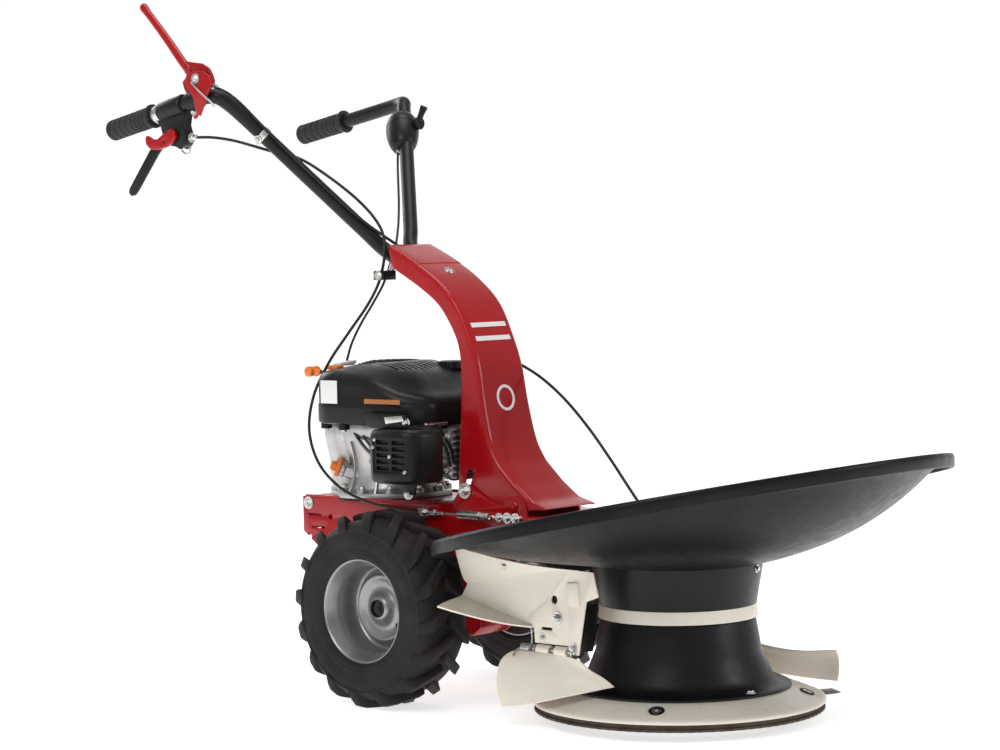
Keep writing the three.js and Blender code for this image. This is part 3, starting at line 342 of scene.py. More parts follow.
# ---------- mesh building ----------
class Build:
    """The mesh of one piece, in millimetres, gathered from closed solids."""

    def __init__(self):
        self.points, self.faces = [], []

    def add(self, points, faces):
        base = len(self.points)
        self.points += [Vector(p) for p in points]
        self.faces += [[base + i for i in face] for face in faces]
        return self

    def loft(self, rings):
        """Rings of equal length joined one to the next, with both ends capped."""
        n, m = len(rings[0]), len(rings)
        points = [p for ring in rings for p in ring]
        faces = []
        for i in range(m - 1):
            j = i + 1
            faces += [[i * n + k, i * n + (k + 1) % n, j * n + (k + 1) % n, j * n + k] for k in range(n)]
        faces += [list(range(n))[::-1], [(m - 1) * n + k for k in range(n)]]
        return self.add(points, faces)

    def lathe(self, profile, at=(0, 0, 0), axis=(0, 0, 1), count=96, move=None):
        """A profile of (radius, height) pairs turned about an axis. Ends on the axis close as points."""
        turn = Matrix.Translation(Vector(at)) @ basis(axis)
        on_axis = profile[0][0] == 0
        middle = profile[1:-1] if on_axis else profile
        rings = []
        for r, z in middle:
            rings.append([
                Vector((r * math.cos(2 * math.pi * k / count), r * math.sin(2 * math.pi * k / count), z))
                for k in range(count)
            ])
        points = [p for ring in rings for p in ring]
        faces = []
        rows = len(rings)
        for i in range(rows - 1 if on_axis else rows):
            j = (i + 1) % rows
            faces += [
                [i * count + k, i * count + (k + 1) % count, j * count + (k + 1) % count, j * count + k]
                for k in range(count)
            ]
        if on_axis:
            points += [Vector((0, 0, profile[0][1])), Vector((0, 0, profile[-1][1]))]
            first, last = len(points) - 2, len(points) - 1
            faces += [[first, (k + 1) % count, k] for k in range(count)]
            faces += [
                [last, (rows - 1) * count + k, (rows - 1) * count + (k + 1) % count] for k in range(count)
            ]
        points = [turn @ p for p in points]
        return self.add([move(p) for p in points] if move else points, faces)

    def rod(self, a, b, radius, end_radius=None, edge=0.6, count=32):
        """A round bar with chamfered ends."""
        a, b = Vector(a), Vector(b)
        last = radius if end_radius is None else end_radius
        length = (b - a).length
        edge = min(edge, radius * 0.45, last * 0.45, length * 0.3)
        profile = [
            (0, 0), (radius - edge, 0), (radius, edge), (last, length - edge), (last - edge, length),
            (0, length),
        ]
        return self.lathe(profile, a, b - a, count)

    def tube(self, points, radius, sides=20, steps=6):
        """A round bar along a smooth curve; radius is a number or a function of the share of the way."""
        path = spline(points, steps)
        size = radius if callable(radius) else (lambda share: radius)
        heading = (path[1] - path[0]).normalized()
        side = heading.orthogonal().normalized()
        rings = []
        for i, p in enumerate(path):
            ahead = (path[min(i + 1, len(path) - 1)] - path[max(i - 1, 0)]).normalized()
            side = (side - ahead * side.dot(ahead)).normalized()
            other = ahead.cross(side)
            r = size(i / (len(path) - 1))
            ring = [
                p + r * (math.cos(2 * math.pi * k / sides) * side + math.sin(2 * math.pi * k / sides) * other)
                for k in range(sides)
            ]
            rings.append(ring)
        return self.loft(rings)

    def prism(self, outline, low, high, plane="x"):
        """An outline run between two planes. plane is the axis it runs along:
        x takes (y, z), y takes (x, z) and z takes (x, y)."""
        place = {
            "x": lambda u, v, w: Vector((w, u, v)),
            "y": lambda u, v, w: Vector((u, w, v)),
            "z": lambda u, v, w: Vector((u, v, w)),
        }[plane]
        return self.loft([[place(u, v, w) for u, v in outline] for w in (low, high)])

    def box(self, x, y, z):
        return self.prism([(y[0], z[0]), (y[1], z[0]), (y[1], z[1]), (y[0], z[1])], x[0], x[1])

    def sheet(self, rows, thickness, steps=8):
        """A bent sheet through a grid of points, closed round its edge."""
        across = [spline(row, steps) for row in rows]
        columns = [spline([row[j] for row in across], steps) for j in range(len(across[0]))]
        height, width = len(columns[0]), len(columns)
        at = lambda i, j: columns[min(max(j, 0), width - 1)][min(max(i, 0), height - 1)]
        points = []
        for side in (0, 1):
            for i in range(height):
                for j in range(width):
                    normal = (at(i + 1, j) - at(i - 1, j)).cross(at(i, j + 1) - at(i, j - 1)).normalized()
                    points.append(at(i, j) + normal * side * thickness)
        n = height * width
        faces = []
        for i in range(height - 1):
            for j in range(width - 1):
                quad = [i * width + j, i * width + j + 1, (i + 1) * width + j + 1, (i + 1) * width + j]
                faces += [quad, [q + n for q in quad[::-1]]]
        border = list(range(width)) + [i * width + width - 1 for i in range(1, height)]
        border += [(height - 1) * width + j for j in range(width - 2, -1, -1)]
        border += [i * width for i in range(height - 2, 0, -1)]
        for a, b in zip(border, border[1:] + border[:1]):
            faces.append([b, a, a + n, b + n])
        return self.add(points, faces)

    def nut(self, at, axis, size=6.5, height=6.0, washer=True, stud=3.0):
        """A hexagon head or nut on its washer, with the rounded end of the stud."""
        at, axis = Vector(at), Vector(axis).normalized()
        low = 0.0
        if washer:
            self.lathe(
                [(0, -0.5), (size * 1.45, -0.5), (size * 1.55, 0.3), (size * 1.5, 1.5), (0, 1.5)], at, axis,
                32,
            )
            low = 1.4
        top = low + height
        edge = size * 0.14
        turn = Matrix.Translation(at) @ basis(axis)
        rings = []
        for r, z in ((size, low), (size, top - edge), (size - edge, top)):
            rings.append([
                turn @ Vector((r * math.cos(k * math.pi / 3), r * math.sin(k * math.pi / 3), z))
                for k in range(6)
            ])
        self.loft(rings)
        if stud:
            r = size * 0.52
            self.lathe(
                [(0, low), (r, low), (r, top + stud - 0.8), (r - 0.8, top + stud), (0, top + stud)], at, axis,
                20,
            )
        return self

    def screw(self, at, axis, radius=6.0, height=3.0):
        """A domed screw head with a socket."""
        profile = [
            (0, -0.5), (radius, -0.5), (radius, height * 0.35), (radius * 0.8, height * 0.85),
            (radius * 0.45, height), (radius * 0.42, height * 0.35), (0, height * 0.3),
        ]
        return self.lathe(profile, at, axis, 28)

    def spring(self, a, b, radius, wire, turns, steps=20):
        """A coil spring between two points."""
        a, b = Vector(a), Vector(b)
        turn = basis(b - a)
        length = (b - a).length
        path = []
        for i in range(int(turns * steps) + 1):
            angle = 2 * math.pi * i / steps
            share = i / (turns * steps)
            path.append(
                a + turn @ Vector((radius * math.cos(angle), radius * math.sin(angle), length * share))
            )
        return self.tube(path, wire, 8, 1)


def apply_modifiers(piece):
    bpy.context.view_layer.update()
    graph = bpy.context.evaluated_depsgraph_get()
    made = bpy.data.meshes.new_from_object(piece.evaluated_get(graph))
    piece.modifiers.clear()
    piece.data = made


def cut_away(piece, cutter, own_overlaps=False):
    """Takes the cutter's solids out of the piece."""
    tool = new_object("cutter", cutter)
    step = piece.modifiers.new("cut", "BOOLEAN")
    step.object = tool
    step.operation = "DIFFERENCE"
    step.solver = "EXACT"
    step.use_self = own_overlaps
    apply_modifiers(piece)
    bpy.data.objects.remove(tool)


def new_object(name, build):
    data = bpy.data.meshes.new(name)
    data.from_pydata([p * MM for p in build.points], [], build.faces)
    work = bmesh.new()
    work.from_mesh(data)
    bmesh.ops.recalc_face_normals(work, faces=work.faces)
    return linked(name, data, work)


def linked(name, data, work):
    """Puts a worked mesh in the scene."""
    work.to_mesh(data)
    work.free()
    piece = bpy.data.objects.new(name, data)
    bpy.context.scene.collection.objects.link(piece)
    return piece


def merged(node, name):
    """A CAD node's own shape with its flat faces merged."""
    work = bmesh.new()
    work.from_mesh(frame["nodes"][node].data)
    bmesh.ops.remove_doubles(work, verts=work.verts, dist=2e-5)
    bmesh.ops.dissolve_limit(work, angle_limit=1.5 * DEG, verts=work.verts, edges=work.edges)
    return linked(name, bpy.data.meshes.new(name), work)


def finished(piece, body, look, nodes=(), bevel=0.0, corner=32, smooth=35, segments=2):
    """Rounds the piece's edges, shades it, and puts it on its body."""
    if bevel:
        step = piece.modifiers.new("edges", "BEVEL")
        step.width = bevel * MM
        step.segments = segments
        step.limit_method = "ANGLE"
        step.angle_limit = corner * DEG
        step.miter_outer = "MITER_ARC"
        step.use_clamp_overlap = True
        apply_modifiers(piece)
    data = piece.data
    data.materials.clear()
    data.materials.append(look)
    data.polygons.foreach_set("use_smooth", [True] * len(data.polygons))
    data.set_sharp_from_angle(angle=smooth * DEG)
    if body:
        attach(piece, body)
    if nodes:
        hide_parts(*nodes)
    return piece


def make(name, build, body, look, nodes=(), **edges):
    return finished(new_object(name, build), body, look, nodes, **edges)


def refined(node, look, bevel, corner=35):
    """A CAD node's own shape with its edges rounded."""
    body = frame["nodes"][node]["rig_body"]
    return finished(merged(node, node + "_fine"), body, look, [node], bevel=bevel, corner=corner)


# ---------- running gear ----------
AXLE = Vector((0, 477, 165))
WHEEL_X = 198
TYRE_RADIUS, TREAD_RADIUS = 165, 155
LUGS, LUG_SLANT, LUG_RUN = 32, 35 * DEG, 63.5


def carcass_radius(x):
    """The tyre's tread radius at a distance from its middle plane."""
    return 153 - 1.5 * (x / 40) ** 2 - 12 * smoothstep(abs(x), 41, 60)


def tyre(side, name):
    half = [
        (152.9, 12), (152.5, 26), (151.2, 38), (148.6, 46), (144.5, 51.5), (140.5, 55), (138.2, 56.8),
        (137.2, 58.4), (135.6, 58.6), (134.4, 57.6), (128, 59.0), (119, 59.4), (110, 58.8), (103.5, 57.6),
        (101.8, 58.2), (100.4, 57.2), (98.6, 57.0), (97.2, 57.6), (94.0, 56.6), (90.6, 54.4), (87.4, 51.6),
    ]
    profile = half + [(r, -x) for r, x in reversed(half)]
    centre = AXLE + Vector((side * WHEEL_X, 0, 0))
    build = Build().lathe(profile, centre, LEFT, 144)
    for i in range(LUGS):
        hand = 1 if i % 2 else -1
        rings = []
        for k in range(11):
            share = k / 10
            x = hand * (59.0 - LUG_RUN * share)
            middle = 2 * math.pi * i / LUGS + (share - 0.5) * LUG_RUN * math.tan(LUG_SLANT) / TREAD_RADIUS
            base = carcass_radius(x) - 4
            shoulder = max(0.0, (abs(x) - 44) / 15.0) ** 1.4
            top = TYRE_RADIUS - 0.2 - 24 * shoulder
            wide, narrow = 8.4 + 1.6 * (1 - share), 6.2 + 1.6 * (1 - share)
            ring = []
            for r, w in (
                (base, -wide), (top - 3, -narrow - 0.9), (top, -narrow + 0.8), (top, narrow - 0.8),
                (top - 3, narrow + 0.9), (base, wide),
            ):
                angle = middle + w / math.cos(LUG_SLANT) / TREAD_RADIUS
                ring.append(centre + Vector((x, r * math.sin(angle), r * math.cos(angle))))
            rings.append(ring)
        build.loft(rings)
    make("tyre_" + name, build, "wheels", TYRE, ["tyre_" + name], bevel=0.6, corner=40, smooth=34)


def rim(side, name):
    flange = [
        (86.2, 46), (86.4, 48.4), (88.0, 50.4), (88.2, 51.8), (87.0, 52.6), (85.2, 51.6), (83.8, 49.2),
        (78.5, 38.5), (75.8, 33.0), (74.6, 30.0),
    ]
    barrel = rounded([(74.4, 18), (74.2, -2), (73.4, -10.4), (70.2, -13.4)])
    face = rounded([
        (67.6, -13.4), (64, -11), (60.4, -5.4), (57, 0.4), (54.2, 2.4), (51, 1.6), (45, -1.6), (38, -3.6),
        (32, -3.0),
    ])
    dome = rounded([(28.4, -1.0), (25, 3.0), (22, 7.6), (19, 11.0), (15.8, 12.4)])
    bore = [(14.2, 12.2), (13.2, 11.2), (13.0, -28), (15.4, -30), (25, -30), (26, -29), (26, -4)]
    back = [(r - 0.8, x - 3.4) for r, x in reversed(face) if r > 27]
    profile = [
        *flange, *barrel, *face, *dome, *bore, *back, (71.4, -16.8), (76.8, -15.6), (79.5, -19), (82.4, -44),
        (84, -54), (86, -56.4), (88.2, -55.8), (88, -54), (86.4, -52), (86.2, 30),
    ]
    centre = AXLE + Vector((side * WHEEL_X, 0, 0))
    build = Build().lathe(profile, centre, (side, 0, 0), 144)
    make("wheel_rim_" + name, build, "wheels", RIM, ["wheel_rim_" + name], smooth=40)
    # The lining of the bore, and the tyre valve through the dish.
    trim = Build().lathe(
        [(12.7, 8), (13.4, 8), (13.4, 11), (15.4, 12.2), (15.2, 13.8), (13.6, 14.0), (12.7, 12.8)], centre,
        (side, 0, 0), 48,
    )
    make("hub_ring_" + name, trim, "wheels", BLACK_PAINT)
    valve = Build().rod(
        centre + Vector((side * -2, -62, -20)), centre + Vector((side * 26, -64, -20.5)), 4, 3.2,
    )
    valve.rod(centre + Vector((side * 25, -64, -20.5)), centre + Vector((side * 33, -64.6, -20.7)), 4.3, 3.8)
    make("tyre_valve_" + name, valve, "wheels", TYRE)


def running_gear():
    for side, name in SIDES:
        tyre(side, name)
        rim(side, name)
    axle = Build().rod(AXLE - Vector((190, 0, 0)), AXLE + Vector((190, 0, 0)), 12.5, edge=1.5, count=48)
    make("axle_bar", axle, "wheels", STEEL, ["axle_shaft"], smooth=30)
    for node, look, bevel, corner in (
        ("worm_wheel", BRONZE, 0.6, 35), ("worm_shaft", ZINC, 0.5, 35),
        ("transmission_pulley", ZINC, 0.5, 35), ("gearbox_housing", RED, 2.5, 30),
        ("gearbox_cover", RED, 1.5, 30),
    ):
        refined(node, look, bevel, corner)
    bolts = Build()
    for y, z in ((400, 132), (400, 232), (470, 112), (530, 138), (530, 214), (455, 238)):
        bolts.nut((46, y, z), LEFT, 5.0, 4, washer=False, stud=0)
    make("gearbox_bolts", bolts, "frame", ZINC, smooth=30)


# ---------- drum head ----------
# Radii from the drum's axis. Each knife has its body and its resting turn: the first is folded
# under the disc.
DISC_BOLT_RING, FLANGE_SCREW_RING, KNIFE_RING = 209, 173, 200
KNIVES = ((-152, "knife_a", 90), (-32, "knife_b", 0), (88, "knife_c", 0))
DISH = {"radius": 427, "floor": 150, "z": 258, "tilt": 11.6 * DEG, "back": 30.6, "rim": 360, "cut": 332}


def tilt_dish(point):
    """Lifts the dish's front and lowers its rear, more the further out a point is."""
    x, y, z = point
    share = min(1, max(0, (math.hypot(x, y) - DISH["floor"]) / (DISH["radius"] - DISH["floor"])))
    z -= share * y * math.sin(DISH["tilt"])
    y = y * (1 - share * (1 - math.cos(DISH["tilt"]))) - share * DISH["back"]
    return Vector((x, y, z))


def guard_dish():
    wall, depth = 4.0, DISH["rim"] - DISH["z"]
    reach = DISH["radius"] - 14 - DISH["floor"]
    rise = lambda share: depth * (0.42 * share + 0.58 * share ** 3)
    under, inside = [], []
    for i in range(25):
        share = i / 24
        radius = DISH["floor"] + reach * share
        under.append((radius, DISH["z"] + rise(share) - 8 * smoothstep(share, 0.93, 1)))
        inside.append((radius, DISH["z"] + wall + rise(share) - wall * smoothstep(share, 0.9, 1)))
    low = DISH["rim"] - 24
    lip = [
        (421.5, low + 6), (422, low + 1.4), (423.5, low), (425.6, low), (427, low + 1.5), (427, low + 14),
        (426.4, DISH["rim"] - 5), (424.6, DISH["rim"] - 1.8), (421.5, DISH["rim"] - 0.2), (417, DISH["rim"]),
    ]
    profile = [(52, DISH["z"]), *under, *lip, *reversed(inside), (52, DISH["z"] + wall)]
    piece = new_object("guard_dish_shell", Build().lathe(profile, count=200, move=tilt_dish))
    cut_away(piece, Build().box((-262, 262), (DISH["cut"], 520), (150, 460)))
    finished(piece, "frame", DISH_PLASTIC, ["guard_dish"], smooth=40)
    # Round-headed bolts that hold the dish to the beam.
    bolts = Build()
    for angle in range(30, 390, 60):
        bolts.screw(polar(96, angle, DISH["z"] + wall), UP, 6.5, 3.4)
    make("dish_bolts", bolts, "frame", ZINC)


def drum():
    cone = [
        (125.2, 189.3), (127.6, 189.3), (128.2, 190.2), (139.6, 254.4), (140.2, 256.6), (139.4, 257.6),
        (60, 257.6), (60, 254.6), (136.2, 254.6), (125, 191),
    ]
    make("upper_cone_shell", Build().lathe(cone, count=128), "frame", BLACK_PAINT, ["upper_cone"], smooth=38)
    screws = Build()
    for angle in (-75.5, 104.5):
        out = polar(1, angle)
        screws.nut(out * 138.0 + Vector((0, 0, 249)), out + Vector((0, 0, -0.17)), 4.6, 3.2, stud=0)
    make("upper_cone_screws", screws, "frame", ZINC)
    band = [
        (128, 168.3), (130.4, 168.3), (131.2, 169.2), (131.0, 171), (128.6, 187.4), (128, 189), (37, 189),
        (37, 186), (125.2, 186),
    ]
    make("drum_band_ring", Build().lathe(band, count=128), "frame", CREAM, ["drum_band"], smooth=38)
    shell = [(180, 54.4), (182.6, 54.4), (183, 55.4), (182.4, 57.4), (179.5, 58.8)]
    shell += rounded([(176, 59.2), (166, 61.5), (158, 66), (152.5, 73), (147, 85)])
    shell += [
        (140, 101.5), (135, 114), (126.6, 163.6), (125.4, 166), (20, 166), (20, 160), (122, 160), (131, 110),
        (146, 76), (157, 61),
    ]
    make("drum_cone_shell", Build().lathe(shell, count=144), "drum", BLACK_PAINT, ["drum_cone"], smooth=40)
    screws = Build()
    for angle in (-102, 18, 138):
        screws.nut(polar(FLANGE_SCREW_RING, angle, 60.6), UP, 6.2, 3.6, stud=0)
    make("drum_cone_screws", screws, "drum", ZINC)
    disc = [
        (20, 50), (183, 50), (210, 39.5), (236.6, 29.6), (238.2, 29.2), (239, 30.4), (238.6, 32.6),
        (236.4, 34.8), (230, 37.4), (212, 44.6), (196, 50.4), (186, 53.4), (181, 54), (20, 54),
    ]
    bolts, recesses = Build(), Build()
    for angle in (-152, -62, 28, 118):
        up = (polar(0.38, angle) + Vector(UP)).normalized()
        at = polar(DISC_BOLT_RING, angle, 46.4)
        recesses.lathe(
            [(8.2, -1.2), (12.4, -0.2), (12.8, 0.9), (11.6, 1.6), (9.2, 1.3), (8.0, -0.4)], at, up, 32,
        )
        bolts.lathe(
            [(0, -2), (8.4, -2), (8.0, 0.5), (6.8, 1.2), (3.4, 1.2), (3.2, -0.6), (0, -0.8)], at, up, 28,
        )
    make("cutting_disc_ring", Build().lathe(disc, count=160), "drum", CREAM, ["cutting_disc"], smooth=40)
    make("disc_bolt_rings", recesses, "drum", BLACK_PAINT)
    make("disc_bolt_heads", bolts, "drum", ZINC)
    shanks = Build()
    for angle, *_ in KNIVES:
        shanks.rod(polar(KNIFE_RING, angle, 21.8), polar(KNIFE_RING, angle, 46), 6)
        shanks.lathe([(0, 27.6), (12, 27.6), (12, 29), (0, 29)], polar(KNIFE_RING, angle), UP, 32)
    make("knife_bolts", shanks, "drum", ZINC)
    # The hardened lower disc; its edge is notched all the way round.
    teeth = [polar(237 if k % 2 else 235.4, 2 * k).xy for k in range(180)]
    piece = new_object("knife_disc_plate", Build().prism(teeth, 17, 21, "z"))
    cut_away(piece, Build().rod((0, 0, 0), (0, 0, 40), 20))
    finished(piece, "drum", WORN, ["knife_disc"], bevel=0.4, smooth=25)
    skirt = Build().lathe([(229, 20.8), (232, 20.8), (232, 30.8), (229, 31.6)], count=120)
    make("disc_edge_ring", skirt, "drum", WORN)


def knives():
    """Three free-swinging blades with ground edges, each with a hole for its bolt."""
    for number, (angle, body, rest) in enumerate(KNIVES, 1):
        turn = Matrix.Translation(polar(KNIFE_RING, angle, 25)) @ Matrix.Rotation(
            (angle + rest) * DEG, 4, "Z",
        )
        outline = [
            (-16, -14), (-10, -18), (30, -20.5), (66, -22), (80, -14), (80, 22), (36, 21), (-8, 20), (-18, 8),
        ]
        ground = [
            (-15, -12), (-9, -15), (30, -17), (62, -17.5), (76, -12), (77, 18), (36, 16), (-8, 17), (-16, 7),
        ]
        rings = [
            [turn @ Vector((x, y, z)) for x, y in shape]
            for shape, z in ((ground, -2), (outline, -0.8), (outline, 0.2), (ground, 2))
        ]
        piece = new_object(f"blade_{number}", Build().loft(rings))
        at = turn.translation
        cut_away(piece, Build().rod(at - Vector((0, 0, 6)), at + Vector((0, 0, 6)), 7))
        finished(piece, body, STEEL, [f"knife_{number}"], bevel=0.3, smooth=25)


def head_inside():
    for node, look, bevel in (
        ("head_bearing_housing", CASTING, 1.5), ("drum_shaft", ZINC, 0.8), ("drum_pulley", ZINC, 0.6),
        ("crank_pulley", ZINC, 0.6), ("crankshaft", ZINC, 0.8), ("traction_belt", BELT, 0.8),
        ("mower_belt", BELT, 0.8), ("mower_idler_arm", ZINC, 0.5), ("mower_idler_pulley", ZINC, 0.5),
    ):
        refined(node, look, bevel)
    profile = [
        (0, 0), (99, 0), (122, 1.6), (141, 4.8), (158, 8.6), (172, 12.6), (172.4, 14), (170.6, 15.4),
        (157, 11.8), (140, 8.2), (121, 5.0), (99, 3.6), (18, 3.6), (16, 5), (16, 14), (15, 15), (0, 15),
    ]
    make("skid_saucer_dish", Build().lathe(profile, count=120), "saucer", STEEL, ["skid_saucer"])


# ---------- chassis ----------
# Where the column pivots and where it is clamped, as (y, z).
PIVOT, CLAMP = (290, 335), (400, 357)
CHASSIS_SIDE = 105


def chassis():
    piece = merged("chassis", "chassis_plates")
    slots = Build()
    for side, _ in SIDES:
        slots.box(span(side, 98, 108), (712, 744), (300, 304))
        slots.box(span(side, 98, 108), (704, 736), (278, 282))
        slots.rod((side * 110, 742, 262), (side * 96, 742, 262), 4)
        slots.rod((side * 110, 690, 300), (side * 96, 690, 300), 5)
    cut_away(piece, slots)
    finished(piece, "frame", RED, ["chassis"], bevel=0.8, corner=40)
    bolts = Build()
    for side, _ in SIDES:
        out = (side, 0, 0)
        bolts.nut((side * CHASSIS_SIDE, 744, 322), out, 7.5, 5)
        bolts.nut((side * CHASSIS_SIDE, 612, 262), out, 6.0, 4.5, stud=2)
        bolts.nut((side * CHASSIS_SIDE, 470, 262), out, 6.0, 4.5, stud=2)
    for x, y in ((-84, 470), (84, 470), (-84, 640), (84, 640), (0, 720)):
        bolts.nut((x, y, 329.4), DOWN, 6, 5)
    make("chassis_bolts", bolts, "frame", ZINC)
    caps = Build()
    for side, _ in SIDES:
        caps.lathe(
            [(0, -1), (9, -1), (9, 1.6), (7.4, 3.0), (0, 3.6)], (side * 69.6, *PIVOT), (side, 0, 0), 40,
        )
    make("pivot_caps", caps, "frame", RED)
    # The engine plate's raised edges.
    rim_bar = Build()
    for side, _ in SIDES:
        rim_bar.box(span(side, 99, CHASSIS_SIDE), (452, 752), (333.4, 337))
    make("engine_plate_edges", rim_bar, "frame", RED, bevel=0.8)


def clamp_bolt():
    build = Build()
    for side, _ in SIDES:
        at = Vector((side * 69.5, *CLAMP))
        build.lathe([(0, 0), (13.5, 0), (14.2, 0.8), (13.6, 2.4), (0, 2.4)], at, (side, 0, 0), 40)
        build.nut(at + Vector((side * 1.8, 0, 0)), (side, 0, 0), 8.6, 6.4, washer=False, stud=3.5)
    build.rod((-69, *CLAMP), (69, *CLAMP), 5)
    make("clamp_bolt", build, "frame", ZINC, ["column_clamp_bolt"], smooth=32)


# ---------- guards and deflectors ----------
# The guards' outer face and the deflectors' hinge line, as distances from the machine's middle.
GUARD_FACE, HINGE_X, HINGE_Z = 189.5, 190, 124


def mirror(points, side):
    return [(side * x, y, z) for x, y, z in points]


def side_guard(side, name):
    """The cream panel before the tyre: folded out under the dish, with a flared wing along its lower edge."""
    thick = 2.6
    rows = [
        [(197, 309, 282), (196, 240, 270), (193, 170, 262), (189, 110, 258), (186.4, 52, 256.6)],
        [(187, 298, 226), (187, 232, 236), (186.8, 168, 247), (186.4, 110, 252), (186.2, 52, 254)],
        [(185, 292, 219), (185, 228, 229.6), (185.2, 165, 241), (186, 110, 248), (186.2, 52, 251.4)],
        [(185, 298, 208), (185, 225, 206), (185.2, 163, 208), (186, 108, 222), (186.2, 50, 240)],
        [(185, 304, 198), (185, 230, 180), (185.2, 158, 163), (186, 104, 175), (186.2, 44, 214)],
    ]
    build = Build().sheet([mirror(row, side) for row in rows], -side * thick, 6)
    bracket = [
        (161, 172), (146, 156), (145, 133.6), (75, 133.6), (74, 120), (54, 120), (37, 207), (12, 216),
        (22, 255), (70, 256), (120, 200),
    ]
    build.prism(bracket, *span(side, GUARD_FACE, 186.9))
    wing = [
        [(183, 304, 200), (183, 262, 189.5), (183, 222, 180), (183, 184, 170.5), (183, 150, 162)],
        [(196, 304, 197), (194, 262, 187), (192, 222, 177.6), (189, 184, 168.8), (184.5, 150, 161.4)],
        [(232, 300, 193), (222, 262, 183), (211, 222, 173.6), (200, 184, 166), (188, 149, 160.4)],
        [(262, 291, 190), (250, 262, 182), (232, 222, 172), (212, 184, 164), (192, 149, 159.6)],
    ]
    build.sheet([mirror(row, side) for row in wing], side * thick, 6)
    piece = new_object("guard_panel_" + name, build)
    holes = Build().rod((side * 200, 103, 206), (side * 170, 103, 206), 7)
    holes.prism([(108, 155.5), (131, 155.5), (131, 160.5), (108, 160.5)], *span(side, 200, 170))
    holes.prism([(70, 199), (73, 199), (76, 233), (72, 233)], *span(side, 200, 170))
    cut_away(piece, holes, own_overlaps=True)
    finished(piece, "frame", CREAM, ["guard_" + name], bevel=0.5, corner=50, smooth=40)
    trim = Build()
    trim.prism([(49, 199), (71, 199), (75, 235), (50, 237)], *span(side, 188.9, 193))
    trim.box(span(side, 183, 150), (60, 130), (250, 252.6))
    make("guard_tab_" + name, trim, "frame", CREAM, bevel=1.2)
    # A plate on the guard's inner side, between its bracket and the drum; its black is painted shade, the
    # shade under the dish.
    stay = [(66, 196), (46, 200), (44, 192), (58, 122), (84, 118), (80, 150)]
    shade_plate = Build().prism(stay, *span(side, 148, 152))
    make("shade_painted_plate_" + name, shade_plate, "frame", BLACK_PAINT, bevel=0.8)
    bolts = Build()
    out = (side, 0, 0)
    bolts.nut((side * GUARD_FACE, 97, 177), out, 7.0, 5.5)
    bolts.nut((side * 189.4, 206, 254), out, 6.4, 5)
    bolts.nut((side * GUARD_FACE, 64.5, 131), out, 5.6, 4.5, stud=2)
    bolts.nut((side * GUARD_FACE, 129, 143), out, 4.5, 3.5, stud=2)
    make("guard_nuts_" + name, bolts, "frame", ZINC)
    hinge = Build().rod((side * HINGE_X, 62, HINGE_Z), (side * HINGE_X, 150, HINGE_Z), 3)
    hinge.lathe([(0, 0), (5, 0), (5, 3), (0, 3)], (side * HINGE_X, 58.5, HINGE_Z), REAR, 24)
    for y in (64.5, 143):
        hinge.prism(
            [(side * 182, 120), (side * 193.5, 118), (side * 195, 124), (side * 192, 130), (side * 182, 134)],
            y, y + 3.4, "y",
        )
    make("hinge_pin_" + name, hinge, "frame", ZINC, bevel=0.4)
    # The return spring wound on the hinge pin's rear end, with a leg hooked into the guard.
    coil = Build().spring((side * HINGE_X, 151, HINGE_Z), (side * HINGE_X, 172, HINGE_Z), 7, 1.3, 7)
    coil.tube(
        [
            (side * 190, 151.5, 131), (side * 188.4, 152, 145), (side * 187.6, 154, 157),
            (side * 184, 156, 160),
        ],
        1.3, 8,
    )
    coil.tube([(side * 197, 171, 124), (side * 205, 174, 119), (side * 212, 172, 112)], 1.3, 8)
    make("deflector_spring_" + name, coil, "frame", ZINC, smooth=50)


# The right sheet is short and curls in to the disc; the left one reaches forward along it.
DEFLECTOR_ROWS = {
    "right": [
        [(193, 142, 117.5), (193, 117, 118), (193, 95, 118), (192, 70, 117.5)],
        [(201, 184, 116), (198, 132, 117.5), (195, 96, 115.5), (190, 48, 111)],
        [(214, 195, 104), (208, 138, 106), (200, 92, 103), (186, 33, 99)],
        [(228, 193, 81), (219, 136, 85), (206, 82, 87), (180, 14, 88.5)],
        [(239, 183, 57), (230, 130, 62), (212, 70, 70), (175, 2, 79.5)],
        [(246, 168, 34), (239, 120, 42), (219, 62, 56), (172, -5, 73)],
    ],
    "left": [
        [
            (193, 140, 117.5), (193, 105, 118), (193, 73, 117.5), (214, 10, 96), (240, -60, 84),
            (261, -130, 88),
        ],
        [(203, 164, 113), (201, 112, 112), (201, 68, 110), (222, 5, 88), (245, -62, 77), (264, -130.5, 81)],
        [(215, 174, 100), (212, 110, 100), (213, 62, 98), (231, 0, 80), (250, -65, 70), (266, -131, 74)],
        [(235, 180, 70), (232, 118, 70), (234, 62, 68), (244, 0, 60), (257, -66, 52), (267, -131, 55)],
        [(250, 168, 36), (246, 112, 40), (246, 60, 42), (252, 0, 40), (261, -64, 36), (266, -128, 35)],
    ],
}


def swath_deflector(side, name, body):
    """A curved sheet hung from the guard's hinge; it sweeps down past the disc's edge."""
    rows = DEFLECTOR_ROWS[name]
    sheet = Build().sheet([mirror(row, side) for row in rows], -side * 2.2, 7)
    piece = new_object("deflector_sheet_" + name, sheet)
    finished(piece, body, CREAM, ["swath_deflector_" + name], bevel=0.5, corner=60, smooth=50)
    barrel = Build()
    for y0, y1 in ((76, 100), (112, 138)):
        profile = [(4, 0), (7.4, 0), (8, 0.6), (8, y1 - y0 - 0.6), (7.4, y1 - y0), (4, y1 - y0)]
        barrel.lathe(profile, (side * HINGE_X, y0, HINGE_Z), REAR, 40)
    make("deflector_barrel_" + name, barrel, body, CREAM)


# ---------- engine ----------
ENGINE_Y = 640
FLANGE_RING = 98
FLANGE_ANGLES = range(12, 372, 30)


